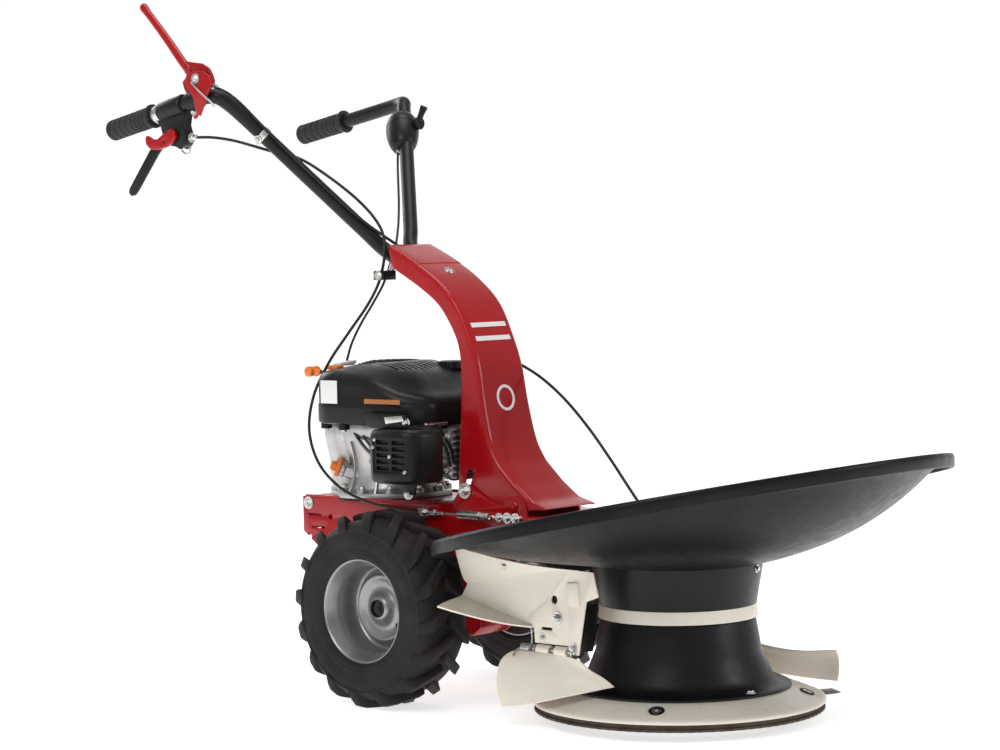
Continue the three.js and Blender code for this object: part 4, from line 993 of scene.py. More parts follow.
def crankcase():
    at = Vector((0, ENGINE_Y, 0))
    bell = rounded([
        (95, 346.4), (89.6, 352), (85.4, 364), (83.6, 382), (85, 402), (90, 422), (95.6, 440), (97, 456),
    ])
    profile = [
        (0, 334), (107, 334), (108, 335), (108, 342.6), (106.8, 344), (99, 344.6), *bell, (95.4, 466.6),
        (0, 466.6),
    ]
    build = Build().lathe(profile, at, count=112)
    for angle in FLANGE_ANGLES:
        centre = at + polar(FLANGE_RING, angle)
        build.lathe([(0, 334.2), (9.6, 334.2), (9.6, 349), (8.8, 350.4), (0, 350.4)], centre, count=28)
        turn = Matrix.Rotation((angle + 15) * DEG, 4, "Z")
        rib = [
            (82, 336), (105, 343), (98, 352), (91, 370), (89, 392), (93, 414), (98, 432), (90, 436),
            (80, 400),
        ]
        rings = [[at + turn @ Vector((r, w, z)) for r, z in rib] for w in (-2.2, 2.2)]
        build.loft(rings)
    build.prism([(-52, 372), (52, 372), (52, 460), (44, 466), (-44, 466), (-52, 460)], 457, 600, "y")
    lobe = rounded([(31, 346), (33, 372), (35.5, 400), (40, 424), (43, 444), (43, 458)])
    build.lathe([(0, 344), (30, 344), *lobe, (41, 466.4), (0, 466.4)], (-56, 688, 0), count=72)
    build.rod((-44, 616, 356), (-97, 670, 386), 14, 11.6, edge=1.5)
    build.rod((-91, 663.8, 382.6), (-97.4, 670.4, 386.4), 13.8, edge=1.4)
    for z, length in ((400, 26), (418, 20), (436, 26)):
        build.rod((-86, 604, z), (-86 - length * 0.6, 604 - length, z), 5.4, 4.6, edge=1)
    build.box((-92, -70), (560, 606), (396, 440))
    make("crankcase_casting", build, "frame", CASTING, ["crankcase"], bevel=1.6, corner=40, smooth=40)
    bolts = Build()
    for angle in FLANGE_ANGLES:
        bolts.nut(at + polar(FLANGE_RING, angle, 350.4), UP, 5.2, 4.6, stud=0)
    make("crankcase_bolts", bolts, "frame", ZINC)
    # Governor rod, control arm and breather pipe down the engine's right side.
    rods = Build().tube(
        [(-84, 650, 462), (-92, 640, 452), (-104, 606, 428), (-112, 570, 410), (-116, 540, 402)], 3.2, 12,
    )
    rods.tube([(-80, 636, 460), (-90, 622, 448), (-104, 584, 424), (-112, 552, 408)], 2.2, 12)
    rods.tube([(-96, 556, 410), (-112, 536, 404), (-117, 524, 398)], 3.4, 12)
    make("governor_rods", rods, "frame", STEEL, smooth=45)
    pad = Build().lathe([(96, 330.8), (109, 330.8), (109, 333.6), (96, 333.6)], at, count=72)
    make("flange_gasket", pad, "frame", BLACK_PLASTIC, smooth=30)


def cylinder_head():
    build = Build().prism(
        [(-50, 374), (-46, 370), (46, 370), (50, 374), (50, 458), (46, 462), (-50, 462)], 445, 456.6, "y",
    )
    for k in range(9):
        z = 374 + 10.4 * k
        build.box((-50, 50), (437.5, 447), (z, z + 3.6))
        build.box((50, 58), (452, 512), (z, z + 3.6))
        build.box((-58, -50), (452, 512), (z, z + 3.6))
    make("cylinder_fins", build, "frame", CASTING, ["cylinder_head"], bevel=0.8, corner=40)
    cover = Build().prism(
        [(-34, 384), (34, 384), (38, 388), (38, 446), (34, 450), (-34, 450), (-38, 446), (-38, 388)], 430,
        440, "y",
    )
    for x, z in ((-30, 392), (30, 392), (-30, 442), (30, 442)):
        cover.screw((x, 430.4, z), FRONT, 4.6, 3.2)
    make("rocker_cover", cover, "frame", BLACK_PAINT, bevel=2.0)
    plug = Build().rod((0, 445, 438), (0, 431, 438), 7.4, 7)
    plug.lathe([(0, 0), (8.6, 0), (8.8, 2), (8.0, 4), (0, 4)], (0, 433, 438), FRONT, 28)
    plug.tube([(0, 429, 438), (10, 427, 446), (34, 432, 458), (52, 440, 470)], 3.4, 14)
    make("spark_lead", plug, "frame", BLACK_PLASTIC, ["spark_plug_cap"], smooth=40)


def shroud_plan(inset):
    """The blower housing's plan, shrunk towards its middle by an inset: wide over the flywheel."""
    points = arc(-78, 499, 50, 232, 270, 7)
    points += arc(105, 494, 45, 270, 360, 9)
    points += arc(88, 644, 62, 0, 90, 9)
    points += arc(-88, 644, 62, 90, 180, 9)
    points += [(-150, 560), (-148.5, 520), (-138, 490)]
    return [(x * (1 - inset / 150), 577.5 + (y - 577.5) * (1 - inset / 128.5)) for x, y in points]


def shroud_drop(y):
    """How far the top's shoulder dips towards the engine's front."""
    return 42 * smoothstep(600 - y, 0, 150)


def blower_shroud():
    levels = (
        (4, 468), (1, 470), (0, 474), (0, 496), (0, 500.6), (1.4, 504), (1.4, 536), (2.2, 546), (5, 553),
        (10, 557.5), (20, 560.5), (34, 563.5), (50, 567), (66, 570), (84, 571.6), (108, 572),
    )
    rings = []
    for inset, z in levels:
        ring = []
        for x, y in shroud_plan(inset):
            share = smoothstep(z, 500, 552) * (1 - 0.30 * smoothstep(inset, 20, 84))
            ring.append(Vector((x, y, z - shroud_drop(y) * share)))
        rings.append(ring)
    piece = new_object("blower_housing", Build().loft(rings))
    # Cooling slots across the top, in two fans.
    slots = Build()
    for k in range(9):
        x = -84 + 13 * k
        slots.box((x, x + 5.5), (604, 652 - abs(k - 4) * 4), (561, 590))
        slots.box((x + 4, x + 9.5), (532 + abs(k - 4) * 3, 582), (556, 590))
    cut_away(piece, slots)
    cut_away(
        piece,
        Build().lathe([(0, 555.6), (27.4, 555.6), (27.6, 566), (30, 590), (0, 590)], (62, 545, 0), UP, 64),
    )
    finished(piece, "frame", BLACK_PLASTIC, ["blower_shroud"], bevel=0.9, corner=45, smooth=38)
    ridges = Build()
    for k in range(12):
        x = -88 + 13 * k
        top = 574.6 - 5.5 * (x / 88) ** 2
        ridges.box((x - 4, x - 0.6), (602 + abs(k - 6) * 3, 656 - abs(k - 5) * 4), (556, top))
    make("housing_ridges", ridges, "frame", BLACK_PLASTIC, bevel=0.8)
    # Foot tabs below the housing's rear edge, with their bolts.
    tabs, bolts = Build(), Build()
    for x, y, out in (
        (-128, 684, (-0.7, 0.7, 0)), (128, 684, (0.7, 0.7, 0)), (-146, 620, RIGHT), (146, 600, LEFT),
        (146, 500, LEFT),
    ):
        at = Vector((x, y, 470)) - Vector(out) * 9
        tabs.lathe([(0, -12), (9, -12), (10, -10.6), (10, 3), (0, 3)], at, UP, 24)
        bolts.nut(at + Vector((0, 0, -12)), DOWN, 4.6, 3.6, washer=False, stud=0)
    make("housing_tabs", tabs, "frame", BLACK_PLASTIC)
    make("housing_tab_bolts", bolts, "frame", ZINC)
    label = Build().box((-150.9, -149.4), (622, 662), (504, 544))
    make("blank_sticker", label, "frame", LABEL, bevel=0.4, smooth=30)
    strip = Build().box((-149.5, -148.0), (474, 558), (506, 514))
    make("plain_strip", strip, "frame", AMBER, bevel=0.3, smooth=30)
    # A spring clip and the choke tab on the top's rear edge.
    clip = Build().prism(
        [(-96, 566), (-60, 566), (-52, 572), (-54, 575), (-92, 571), (-98, 569)], 668, 684, "y",
    )
    make("top_clip", clip, "frame", LABEL, bevel=1.0)
    amber = Build().prism([(-112, 560), (-96, 563), (-92, 568), (-110, 567)], 660, 690, "y")
    make("choke_tab", amber, "frame", ORANGE, bevel=1.0)


def muffler_guard():
    plan = [
        (-112, 410), (-156, 410), (-176, 418), (-187, 432), (-190, 450), (-190, 500), (-182, 514),
        (-112, 514),
    ]
    levels = ((12, 374), (6, 375.6), (2, 379), (0, 385), (0, 454), (2, 460), (6, 464), (12, 466))
    centre = (-150, 462)
    rings = []
    for inset, z in levels:
        rings.append([
            Vector((x + (centre[0] - x) * inset / 60, y + (centre[1] - y) * inset / 60, z)) for x, y in plan
        ])
    piece = new_object("muffler_cover", Build().loft(rings))
    slots = Build().box((-196, -187.4), (427, 499), (394, 452))
    cut_away(piece, slots)
    louvres = Build()
    for y in (430, 466):
        for row in range(5):
            z = 398 + 11 * row
            louvres.box((-196, -180), (y, y + 29), (z, z + 6))
    cut_away(piece, louvres)
    finished(piece, "frame", BLACK_PLASTIC, ["muffler_guard"], bevel=3.2, corner=35, smooth=38, segments=4)
    bolts = Build()
    for y, z in ((497, 449), (501, 436), (463, 421), (428, 396)):
        bolts.screw((-188, y, z), RIGHT, 3.6, 2.4)
    bolts.nut((-160, 452, 477), (-0.8, -0.6, 0), 5.4, 5)
    bolts.nut((-136, 470, 352), (-0.9, -0.4, 0), 5.4, 5)
    make("muffler_bolts", bolts, "frame", ZINC)
    bracket = Build().prism([(548, 492), (450, 490), (444, 470), (470, 464), (532, 466)], -166, -158)
    bracket.prism([(478, 352), (452, 352), (446, 380), (486, 380)], -140, -136)
    make("muffler_bracket", bracket, "frame", BLACK_PAINT, bevel=1.4)
    tab = Build().prism([(492, 486), (452, 489), (448, 480), (488, 474)], -170, -166)
    make("muffler_tab", tab, "frame", ZINC, bevel=0.8)


def engine_front():
    """What shows between the muffler cover and the column: the carburettor side, brackets and pipes."""
    body = Build().prism([(88, 385), (146, 385), (146, 462), (88, 462)], 441, 513, "y")
    make("air_filter_box", body, "frame", BLACK_PLASTIC, ["air_filter_cover"], bevel=6, segments=4)
    ribs = Build()
    for k in range(6):
        z = 396 + 10 * k
        ribs.box((145, 147.4), (450, 504), (z, z + 3))
    ribs.screw((117, 441, 424), FRONT, 8, 4)
    make("air_filter_ribs", ribs, "frame", BLACK_PLASTIC, bevel=0.8)
    carb = Build().prism([(58, 392), (90, 392), (90, 440), (58, 440)], 462, 498, "y")
    carb.rod((74, 480, 392), (74, 480, 372), 15, edge=2)
    carb.rod((52, 480, 418), (96, 480, 418), 14, edge=1)
    make("carburettor", carb, "frame", CASTING, bevel=1.2)
    pipes = Build().tube([(-100, 440, 470), (-92, 432, 460), (-78, 424, 430), (-70, 424, 404)], 3.4, 14)
    pipes.tube([(-112, 436, 468), (-104, 428, 452), (-90, 420, 424), (-84, 420, 398)], 2.2, 12)
    pipes.tube([(74, 466, 384), (66, 446, 372), (40, 432, 366), (0, 428, 366)], 3.4, 14)
    make("engine_pipes", pipes, "frame", BLACK_PLASTIC, smooth=45)
    clamps = Build().nut((-84, 426, 450), (-1, -0.4, 0), 5, 4).nut((-88, 428, 392), (-1, -0.3, 0), 5.4, 4)
    clamps.rod((-112, 452, 470), (-60, 448, 470), 3)
    make("engine_clamps", clamps, "frame", ZINC)


def fuel_cap():
    at = Vector((62, 545, 0))
    build = Build().lathe(
        [(0, 556.6), (24, 556.6), (24.6, 557.4), (24.6, 568.4), (23.6, 570.2), (19, 571.0), (0, 571.3)], at,
        count=72,
    )
    for angle in range(0, 360, 15):
        build.rod(at + polar(24.2, angle, 557.6), at + polar(24.2, angle, 569), 1.5, count=8)
    make("fuel_filler_cap", build, "fuel", BLACK_PLASTIC, ["fuel_cap"])


def oil_cap():
    base, tip = Vector((-97.3, 670.3, 386.2)), Vector((-108, 681.2, 392.3))
    axis = (tip - base).normalized()
    build = Build().lathe([(0, 0), (15.8, 0), (16.4, 0.8), (16.4, 6), (15, 7.4), (0, 7.4)], base, axis, 48)
    turn = Matrix.Translation(base + axis * 5) @ basis(axis)
    grip = [(-15, -4.6), (-10, -8), (10, -8), (15, -4.6), (15, 4.6), (10, 8), (-10, 8), (-15, 4.6)]
    build.loft([
        [turn @ Vector((x * s, y * s, z)) for x, y in grip] for s, z in ((1, 0), (1, 10.4), (0.82, 13.4))
    ])
    make("oil_filler_cap", build, "oil", ORANGE, ["oil_cap"], bevel=0.7)


def recoil_handle():
    build = Build().rod((-104, 707, 556), (-104, 722, 556), 4.4, 6)
    profile = [
        (0, 0), (6, 0.6), (9, 3), (9.6, 8), (8.6, 13), (8.6, 17), (9.6, 22), (9, 27), (6, 29.4), (0, 30),
    ]
    build.lathe(profile, (-119, 728, 556), LEFT, 40)
    make("recoil_grip", build, "recoil", ORANGE, ["recoil_handle"], smooth=40)
    # The starter cord is short inside its guide at rest.
    cord = new_object(
        "recoil_cord", Build().tube([(-104, y, 556) for y in (686, 691, 696, 701, 706, 711)], 1.7, 12, 3),
    )
    finished(cord, None, SHEATH, smooth=60)
    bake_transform(cord)


# ---------- column ----------
def column_lines():
    """The column's front and rear edges seen from the side, as matching points from its top to its foot."""
    front = spline(
        [
            (582, 776, 0), (522, 748, 0), (470, 717, 0), (425, 677, 0), (395, 622, 0), (377, 575, 0),
            (363, 500, 0), (346, 436, 0), (328, 405, 0),
        ],
        7,
    )
    front += [Vector((291, 370.8, 0)), Vector((254.5, 344.6, 0)), Vector((222, 333.6, 0))]
    rear = spline(
        [
            (571, 737, 0), (506, 702, 0), (463, 672, 0), (436, 637, 0), (421, 608, 0), (414.5, 577, 0),
            (413.5, 487, 0), (416, 420, 0), (420, 345, 0),
        ],
        7,
    )
    rear += spline(
        [(419, 323, 0), (380, 322.2, 0), (330, 322.2, 0), (286, 323, 0), (252, 331, 0), (228, 331.2, 0)], 4,
    )
    return even(front, 72), even(rear, 72)


def even(points, count):
    """The same line with its points evenly spaced."""
    lengths = [0.0]
    for a, b in zip(points, points[1:]):
        lengths.append(lengths[-1] + (b - a).length)
    made, k = [], 0
    for i in range(count + 1):
        want = lengths[-1] * i / count
        while k < len(points) - 2 and lengths[k + 1] < want:
            k += 1
        gap = max(lengths[k + 1] - lengths[k], 1e-9)
        made.append(points[k].lerp(points[k + 1], min(1, (want - lengths[k]) / gap)))
    return made


def column_half(z):
    """Half the column's width at a height: it widens towards its foot."""
    return 58 + 6.5 * smoothstep(620 - z, 0, 260)


def column_section(front, rear, skin):
    """A U across the column: up one side, round the folded edge, over the front and down the other side."""
    f, r = front.xy, rear.xy
    back = (r - f).normalized()
    depth = (r - f).length
    fold = min(9.0 - skin, depth * 0.4)
    f = f + back * skin
    half = lambda p: column_half(p.y) - skin
    made = []
    for i in range(6):
        p = r.lerp(f + back * fold, i / 6)
        made.append(Vector((-half(p), p.x, p.y)))
    for i in range(7):
        angle = 15 * i * DEG
        p = f + back * fold * (1 - math.sin(angle))
        made.append(Vector((-half(p) + fold * (1 - math.cos(angle)), p.x, p.y)))
    flat = [Vector((x * (half(f) - fold), f.x, f.y)) for x in (-0.5, 0, 0.5)]
    return made + flat + [Vector((-p.x, p.y, p.z)) for p in reversed(made)]


def column():
    front, rear = column_lines()
    rings = []
    for f, r in zip(front, rear):
        outer = column_section(f, r, 0)
        inner = column_section(f, r, 3)
        rings.append(outer + inner[::-1])
    piece = new_object("column_shell", Build().loft(rings))
    slot = arc(*PIVOT, 120, 2, 30, 7) + arc(*PIVOT, 107, 30, 2, 7)
    holes = Build().prism(slot, -90, 90).rod((-90, *PIVOT), (90, *PIVOT), 6)
    cut_away(piece, holes)
    finished(piece, "steering", RED, ["column"], bevel=0.7, corner=50)
    # The cap plate over the bars' ends, lapped on the column with a step, and its bolt.
    plate = []
    for k in range(10):
        f, r = front[k], rear[k]
        back = (r.xy - f.xy).normalized()
        lift = -back * 1.6
        middle = column_section(f, r, 0)[9:-9]
        shape = [Vector((p.x, p.y + lift.x, p.z + lift.y)) for p in middle]
        low = [Vector((p.x, p.y - lift.x * 1.5, p.z - lift.y * 1.5)) for p in reversed(shape)]
        plate.append(shape + low)
    make("column_cap_plate", Build().loft(plate), "steering", RED, bevel=0.5, corner=50, smooth=40)
    at = front[12]
    bolt = Build().lathe(
        [(0, -1), (9.5, -1), (9.8, 0.4), (9.0, 1.4), (0, 1.4)], (0, at.x, at.y), (0, -0.5, 0.86), 32,
    )
    bolt.screw((0, at.x - 0.6, at.y + 1.2), (0, -0.5, 0.86), 6.4, 3)
    make("column_bolt", bolt, "steering", ZINC)
    # Two plain stripes across the front and a plain ring below them, laid on the sheet.
    stripes = Build()
    for k in (27, 30):
        a, b = front[k], front[k + 1]
        lift = Vector((0, -0.35, 0.12))
        ring = [Vector((x, a.x, a.y)) + lift for x in (-44, 44)] + [
            Vector((x, b.x, b.y)) + lift for x in (44, -44)
        ]
        low = [p + Vector((0, 0.8, -0.3)) for p in ring]
        stripes.loft([low, ring])
    a, b = front[41], front[45]
    facing = Vector((0, a.y - b.y, b.x - a.x)) * -1
    stripes.lathe(
        [(17.5, -0.6), (22.5, -0.6), (22.5, 0.5), (17.5, 0.5)], (0, (a.x + b.x) / 2, (a.y + b.y) / 2), facing,
        64,
    )
    make("plain_stripes", stripes, "steering", LABEL, smooth=30)


# ---------- handlebar ----------
BAR_PATH = [
    (30, 488, 699), (30, 530, 723), (29.5, 572, 744.5), (36, 613.6, 770.8), (60, 637.6, 804.2),
    (130, 707.9, 901.4), (201, 779.3, 1000), (222, 802, 1028), (236, 815, 1040), (245, 832, 1041),
    (248, 861, 1036), (242, 974, 1014), (239, 1085, 993),
]


def bar_line(side):
    """The direction of a bar's long straight part."""
    return Vector((side * 0.5045, 0.5067, 0.7008))


def handlebar():
    build = Build()
    for side, _ in SIDES:
        build.tube(mirror(BAR_PATH, side), 13, 32, 10)
    build.rod((-30, 496, 693), (30, 496, 693), 8)
    build.rod((-30, 556, 723), (30, 556, 723), 8)
    make("handlebar_tubes", build, "steering", BLACK_PAINT, ["handlebar"], smooth=40)


def grips():
    """Rubber sleeves with an inner flange, three rings, finger swells and a domed end."""
    profile = [(14, 0), (20.6, 0), (21.6, 0.8), (21.8, 3), (20.8, 4.2), (17.6, 5.4), (17, 9), (17.2, 14)]
    for k in range(3):
        at = 18 + 9 * k
        profile += [(17.4, at), (19.2, at + 1.2), (19.2, at + 4), (17.4, at + 5.4)]
    for k in range(4):
        at = 46 + 15.6 * k
        profile += [(17.2, at), (18.4, at + 3.6), (18.9, at + 7.8), (18.4, at + 12), (17.2, at + 15)]
    profile += [
        (18.6, 109.4), (19.2, 112), (18.8, 116.4), (16.6, 119.2), (12.4, 120.5), (4, 120.7), (3.6, 119.8),
    ]
    profile += [(3.4, 116.6), (14, 113)]
    for side, name in SIDES:
        inner, outer = Vector((side * 242, 974, 1014)), Vector((side * 239, 1092, 992))
        build = Build().lathe(profile, inner, outer - inner, 64)
        turn = Matrix.Translation(inner) @ basis(outer - inner)
        for k in range(26):
            angle = 360 * k / 26
            build.rod(turn @ polar(18.2, angle, 47), turn @ polar(18.2, angle, 108), 0.8, count=6)
        make("grip_sleeve_" + name, build, "steering", GRIP, ["grip_" + name], smooth=38)


# ---------- controls ----------
def clutch_lever():
    arm = Build().tube(
        [(-232.2, 880, 1082), (-232.2, 902, 1101), (-232.2, 950, 1152), (-232.2, 1006, 1208)],
        lambda s: 3.0 + 5.4 * smoothstep(s, 0.02, 0.16) - 1.6 * s + 1.2 * smoothstep(s, 0.93, 1.0), 24, 14,
    )
    tip = Vector((-232.2, 1006, 1208))
    arm.lathe([(0, -8), (7.4, -6), (8.0, 0), (7.4, 4.4), (4.8, 7.4), (0, 8.6)], tip, (0, 56, 56), 32)
    make("clutch_arm", arm, "clutch", RED, ["clutch_lever"], smooth=45)
    plate = [
        (834, 1062), (826, 1066), (829, 1078), (838, 1092), (856, 1101), (884, 1105), (900, 1108),
        (912, 1100), (898, 1084), (876, 1070), (860, 1062), (846, 1059),
    ]
    cheek = Build().prism(plate, -235.0, -229.4)
    make("clutch_cheek", cheek, "clutch", RED, bevel=1.6, segments=3)
    pin = Build().nut((-229.4, 850, 1074), LEFT, 6.5, 4, stud=2)
    pin.rod((-229.6, 836, 1070), (-223, 836, 1070), 3)
    make("clutch_pin", pin, "clutch", ZINC)


def clutch_bracket():
    ring = Build().lathe(
        [(13.6, 0), (16.4, 0), (17, 0.8), (17, 25.6), (16.4, 26.4), (13.6, 26.4)], (-248, 848, 1038.5),
        (0.02, 26, -5), 48,
    )
    make("clutch_clamp", ring, "steering", BLACK_PAINT, ["clutch_lever_bracket"])
    plate = [
        (836, 1052), (842, 1040), (851, 1022), (858, 1008), (864, 1003), (869, 1009), (873, 1024),
        (878, 1042), (890, 1058), (894, 1070), (880, 1082), (862, 1088), (844, 1086), (834, 1072),
    ]
    body = Build().prism(plate, -247.0, -241.6)
    outer = [
        (808, 1045), (828, 1007), (838, 1010), (847, 1040), (858, 1058), (866, 1072), (860, 1084),
        (819, 1084), (801, 1074), (797, 1062),
    ]
    body.prism(outer, -266, -262.4)
    body.prism([(840, 1066), (856, 1066), (856, 1082), (840, 1082)], -263, -242)
    make("clutch_plate", body, "steering", RED, bevel=1.4, segments=3)
    bolts = Build().nut((-247, 850, 1074), RIGHT, 6.5, 4.5, stud=2)
    bolts.nut((-247, 864, 1016), RIGHT, 4.6, 4, stud=2)
    bolts.nut((-266, 838, 1072), RIGHT, 6.2, 4.5, stud=2)
    bolts.tube([(-268.6, 846, 1066), (-269, 826, 1050), (-269, 806, 1036), (-268, 788, 1022)], 1.8, 10)
    bolts.tube([(-226, 832, 1066), (-232, 842, 1052), (-246, 862, 1032), (-250, 868, 1026)], 1.7, 10)
    bolts.rod((-252, 872, 1021), (-249, 866, 1028), 4.4, 3.4)
    bolts.rod((-222, 840, 1060), (-220, 832, 1058), 4.6)
    make("clutch_inner_cable", bolts, "steering", ZINC, smooth=40)


def drive_controls():
    clamp = Build().rod((-246.2, 888, 1031), (-245.2, 948, 1019.6), 18.6, 18.0, edge=2.5, count=48)
    shape = [
        (884, 1016), (889, 994), (880, 970), (886, 960), (898, 952), (920, 962), (942, 978), (948, 995),
        (966, 1012), (962, 1026), (930, 1036), (892, 1040),
    ]
    clamp.prism(shape, -252, -232)
    piece = new_object("drive_housing", clamp)
    cut_away(
        piece,
        Build().prism(
            [(890, 966), (898, 942), (966, 942), (968, 984), (944, 1000), (902, 998)], -246.4, -237.4,
        ),
        own_overlaps=True,
    )
    finished(
        piece, "steering", BLACK_PLASTIC, ["drive_lever_housing"], bevel=2.2, corner=35, segments=3,
        smooth=38,
    )
    hardware = Build().screw((-252, 930, 1012), RIGHT, 4, 2.4).screw((-252, 900, 1020), RIGHT, 4, 2.4)
    hardware.nut((-252, 914, 971), RIGHT, 4.6, 3.4, washer=False, stud=1)
    hardware.lathe(
        [(13.2, -9), (15.6, -9), (16.2, -8), (16.2, 8), (15.6, 9), (13.2, 9)], (-242.6, 961, 1016.5),
        (0.05, 0.98, -0.19), 40,
    )
    hardware.rod((-240, 878, 972), (-240, 866, 972.8), 4.6, 3.8)
    hardware.nut((-240, 880, 972), (0, -1, 0.05), 5.6, 4, stud=0)
    hardware.tube([(-246, 900, 950), (-246, 890, 944), (-246, 880, 946), (-246, 876, 956)], 1.6, 8)
    make("drive_hardware", hardware, "steering", ZINC, smooth=38)
    blade = [
        (904, 974), (906, 963), (916, 957), (938, 960), (954, 956), (966, 946), (1000, 908), (1024, 881),
        (1032, 874), (1041, 873), (1046, 880), (1043, 888), (1018, 917), (986, 954), (970, 967), (940, 976),
        (914, 981),
    ]
    lever = Build().prism(blade, -246.0, -238.0)
    make("drive_blade", lever, "drive", BLACK_PLASTIC, ["drive_lever"], bevel=2.6, segments=4, smooth=40)
    latch = [
        (910, 989), (903, 982), (901, 973), (910, 964), (924, 957), (940, 954), (956, 952), (970, 955),
        (980, 964), (981, 974), (978, 979), (970, 976), (960, 971), (948, 972), (938, 978), (926, 984),
    ]
    red = new_object("red_latch", Build().prism(latch, -260.5, -252.8))
    cut_away(red, Build().rod((-270, 932, 966), (-240, 932, 966), 2.8))
    finished(red, "latch", RED, ["lever_latch"], bevel=2.2, segments=4, smooth=40)


def throttle_controls():
    along = bar_line(1)
    centre = Vector((191, 777, 986))
    profile = [
        (0, -50), (12, -49.4), (19, -46), (24, -38), (27.6, -26), (30, -11), (30.6, 2), (29.6, 15),
        (26.4, 26), (21, 35), (13, 40), (0, 42),
    ]
    soft = [(p.x, p.y) for p in spline([(r, z, 0) for r, z in profile], 3)]
    soft[0], soft[-1] = (0, profile[0][1]), (0, profile[-1][1])
    body = Build().lathe(soft, centre, along, 64)
    piece = new_object("throttle_case", body)
    seam = Build().lathe([(29.4, 2.4), (33, 2.4), (33, 3.6), (29.4, 3.6)], centre, along, 64)
    cut_away(piece, seam)
    finished(piece, "steering", BLACK_PLASTIC, ["throttle_housing"], smooth=38)
    boss = Build().rod((200, 775, 1000), (200, 747.4, 1000), 11, 10, edge=1.4)
    make("throttle_boss", boss, "steering", BLACK_PLASTIC)
    eye = Build().screw(centre + Vector((-14, -20, 8)), (-0.5, -0.8, 0.2), 4.4, 2.6)
    eye.screw(centre + Vector((-20, -10, -22)), (-0.8, -0.5, -0.2), 4, 2.4)
    eye.rod(centre - along * 45 + Vector((-5, 8, 0)), centre - along * 56 + Vector((-5, 8, 0)), 4, 3.4)
    make("throttle_screws", eye, "steering", ZINC, smooth=38)
    lever = Build().lathe(
        [(0, 0), (11.4, 0), (12, 0.8), (12, 6.2), (11, 7.4), (0, 7.6)], (200, 746.6, 1000), FRONT, 48,
    )
    lever.tube(
        [(200, 742, 1004), (200.6, 740, 1012), (202.6, 736.4, 1022), (204.4, 733, 1031)],
        lambda s: 5.6 + 1.6 * smoothstep(s, 0.4, 1), 20, 6,
    )
    make(
        "throttle_thumb_lever", lever, "throttle", BLACK_PLASTIC, ["throttle_lever"], bevel=0.8, corner=50,
        smooth=40,
    )


def cable_clamp():
    block = new_object("cable_clamp_block", Build().box((-60, -28), (592, 616), (716, 732)))
    cut_away(
        block, Build().rod((-51, 604, 700), (-51, 604, 745), 4.6).rod((-38, 604, 700), (-38, 604, 745), 4.6),
    )
    finished(block, "steering", BLACK_PLASTIC, ["cable_clamp"], bevel=1.6, segments=3)
    bolt = Build().nut((-60, 604, 724), RIGHT, 5.6, 5, stud=2)
    bolt.rod((-32, 600, 731), (-29, 596, 744), 5)
    make("cable_clamp_bolt", bolt, "steering", ZINC)
    # A bright clip that ties the cables to the right bar.
    clip = Build()
    at = Vector((-181, 759.4, 972))
    clip.lathe(
        [(13.3, -6), (15.2, -6), (15.6, -5.4), (15.6, 5.4), (15.2, 6), (13.3, 6)], at, bar_line(-1), 40,
    )
    clip.nut(at + Vector((-14.6, -2, -6)), (-0.8, -0.1, -0.5), 4.6, 4, stud=2)
    clip.prism([(760, 958), (768, 956), (772, 966), (764, 970)], -190, -186)
    make("bar_clip", clip, "steering", ZINC, bevel=0.4, smooth=40)


# ---------- cables and linkage ----------
DRIVE_CABLE = [
    (-240, 874, 972), (-227, 850, 975), (-206, 812, 970), (-184, 768, 951), (-163, 762, 942),
    (-144, 752, 942), (-131, 730, 938), (-126, 705, 925), (-121, 679, 906), (-110, 641, 884), (-90, 617, 856),
    (-70, 600, 828), (-56, 592, 804), (-50, 590, 782), (-52, 596, 756), (-51, 604, 736), (-51, 604, 712),
    (-61, 620, 676), (-92, 642, 630), (-124, 676, 576), (-140, 704, 516), (-140, 722, 452), (-136, 706, 388),
    (-124, 648, 344), (-120, 590, 327), (-118, 508, 322), (-116, 446, 322),
]
THROTTLE_CABLE = [
    (164, 764, 948), (150, 755, 925), (130, 732, 895), (90, 692, 849), (58, 664, 810), (24, 638, 774),
    (-4, 622, 753), (-26, 611, 741), (-38, 604, 731), (-38, 604, 712), (-42, 630, 678), (-50, 668, 636),
    (-59, 682, 600), (-62, 684, 574),
]
MOWER_CABLE = [
    (-221, 838, 1059), (-213, 812, 1052), (-211, 786, 1036), (-208, 764, 1006), (-165, 720, 945),
    (-122, 677, 885), (-86, 641, 835), (-63, 618, 805), (-30, 610, 790), (-8, 598, 774), (0, 580, 757),
    (0, 546, 738), (2, 500, 710), (8, 442, 664), (20, 416, 622), (40, 436, 596), (62, 434, 582),
    (73, 405, 571), (76, 358, 556), (72, 292, 517), (66, 234, 458), (62, 180, 408), (58, 140, 352),
    (55, 108, 324),
]


def cable(name, points, radius, node):
    """A sheathed cable from the moving handlebar to the fixed frame; it bends between start and end."""
    path = [Vector(p) for p in points]
    for _ in range(2):
        path = [path[0], *[(a + b * 2 + c) / 4 for a, b, c in zip(path, path[1:], path[2:])], path[-1]]
    piece = new_object(name, Build().tube(path, radius, 16, 8))
    finished(piece, None, SHEATH, [node], smooth=50)
    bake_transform(piece)


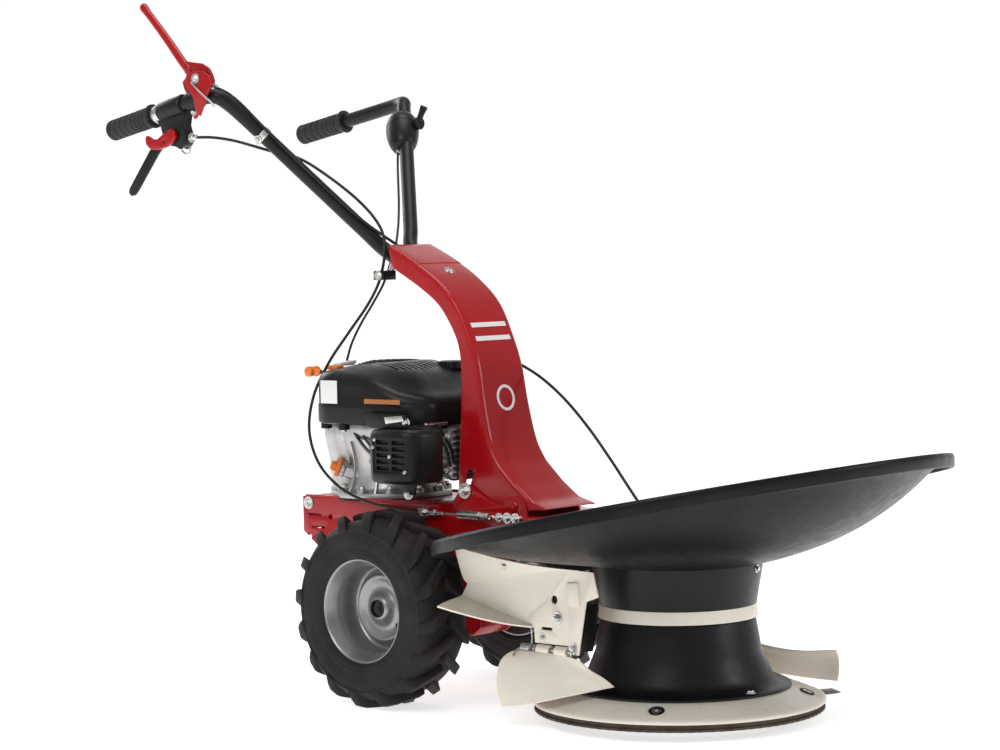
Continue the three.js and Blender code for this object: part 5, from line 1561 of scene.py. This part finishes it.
def cables():
    cable("drive_sheath", DRIVE_CABLE, 2.6, "drive_cable")
    cable("throttle_sheath", THROTTLE_CABLE, 2.2, "throttle_cable")
    cable("mower_sheath", MOWER_CABLE, 2.6, "mower_cable")
    ends = Build().rod((-62, 684, 574), (-62, 684, 566), 4.4, 3.6)
    ends.rod((55, 110, 338), (55, 108, 326), 4.6, 5)
    ends.nut((55, 108, 325.4), UP, 6, 4, washer=False, stud=0)
    make("cable_ferrules", ends, "frame", ZINC)


def linkage():
    """The traction linkage along the deck's right side: adjuster, thin rod, spring case and hooks."""
    x, z = -116, 322
    build = Build().rod((x, 448, z), (x, 428, z), 4.6, 4).nut(
        (x, 430, z), FRONT, 6, 4.5, washer=False, stud=0,
    )
    build.rod((x, 426, z), (x, 410, z), 3.2, 2.6).rod((x, 412, z), (x, 372, z), 1.5)
    build.rod((x, 374, z), (x, 326, z), 6.8, edge=1.0, count=40)
    build.spring((x, 330, z), (x, 306, z), 4.6, 1.1, 9)
    build.tube([(x, 306, z), (x, 298, z + 1), (x, 292, z - 2), (x, 286, z)], 1.9, 10)
    build.tube([(x, 288, z), (x, 280, z + 3), (x, 272, z), (x, 262, z)], 2.1, 10)
    build.nut((x - 1, 282, z), RIGHT, 5, 4, stud=1)
    for y in (262, 244):
        build.rod((x + 11, y, z), (x - 6, y, z), 3.4)
        build.nut((x - 3, y, z), RIGHT, 6, 4.5, stud=1.5)
    build.rod((x + 11, 450, z), (x - 6, 450, z), 3.4).nut((x - 4, 450, z), RIGHT, 5.4, 4.5, stud=2)
    build.prism([(440, 316), (462, 314), (464, 328), (444, 330)], x - 3.4, x - 0.6)
    make("traction_linkage", build, "frame", ZINC, ["tension_spring"], smooth=38)


def guards():
    for side, name in SIDES:
        side_guard(side, name)
        swath_deflector(side, name, "deflector_r" if side < 0 else "deflector_l")


for step in (
    make_camera, make_lights, make_floor, running_gear, guard_dish, drum, knives, head_inside, chassis,
    clamp_bolt, guards, crankcase, cylinder_head, blower_shroud, muffler_guard, engine_front, fuel_cap,
    oil_cap, recoil_handle, column, handlebar, grips, clutch_lever, clutch_bracket, drive_controls,
    throttle_controls, cable_clamp, cables, linkage,
):
    step()
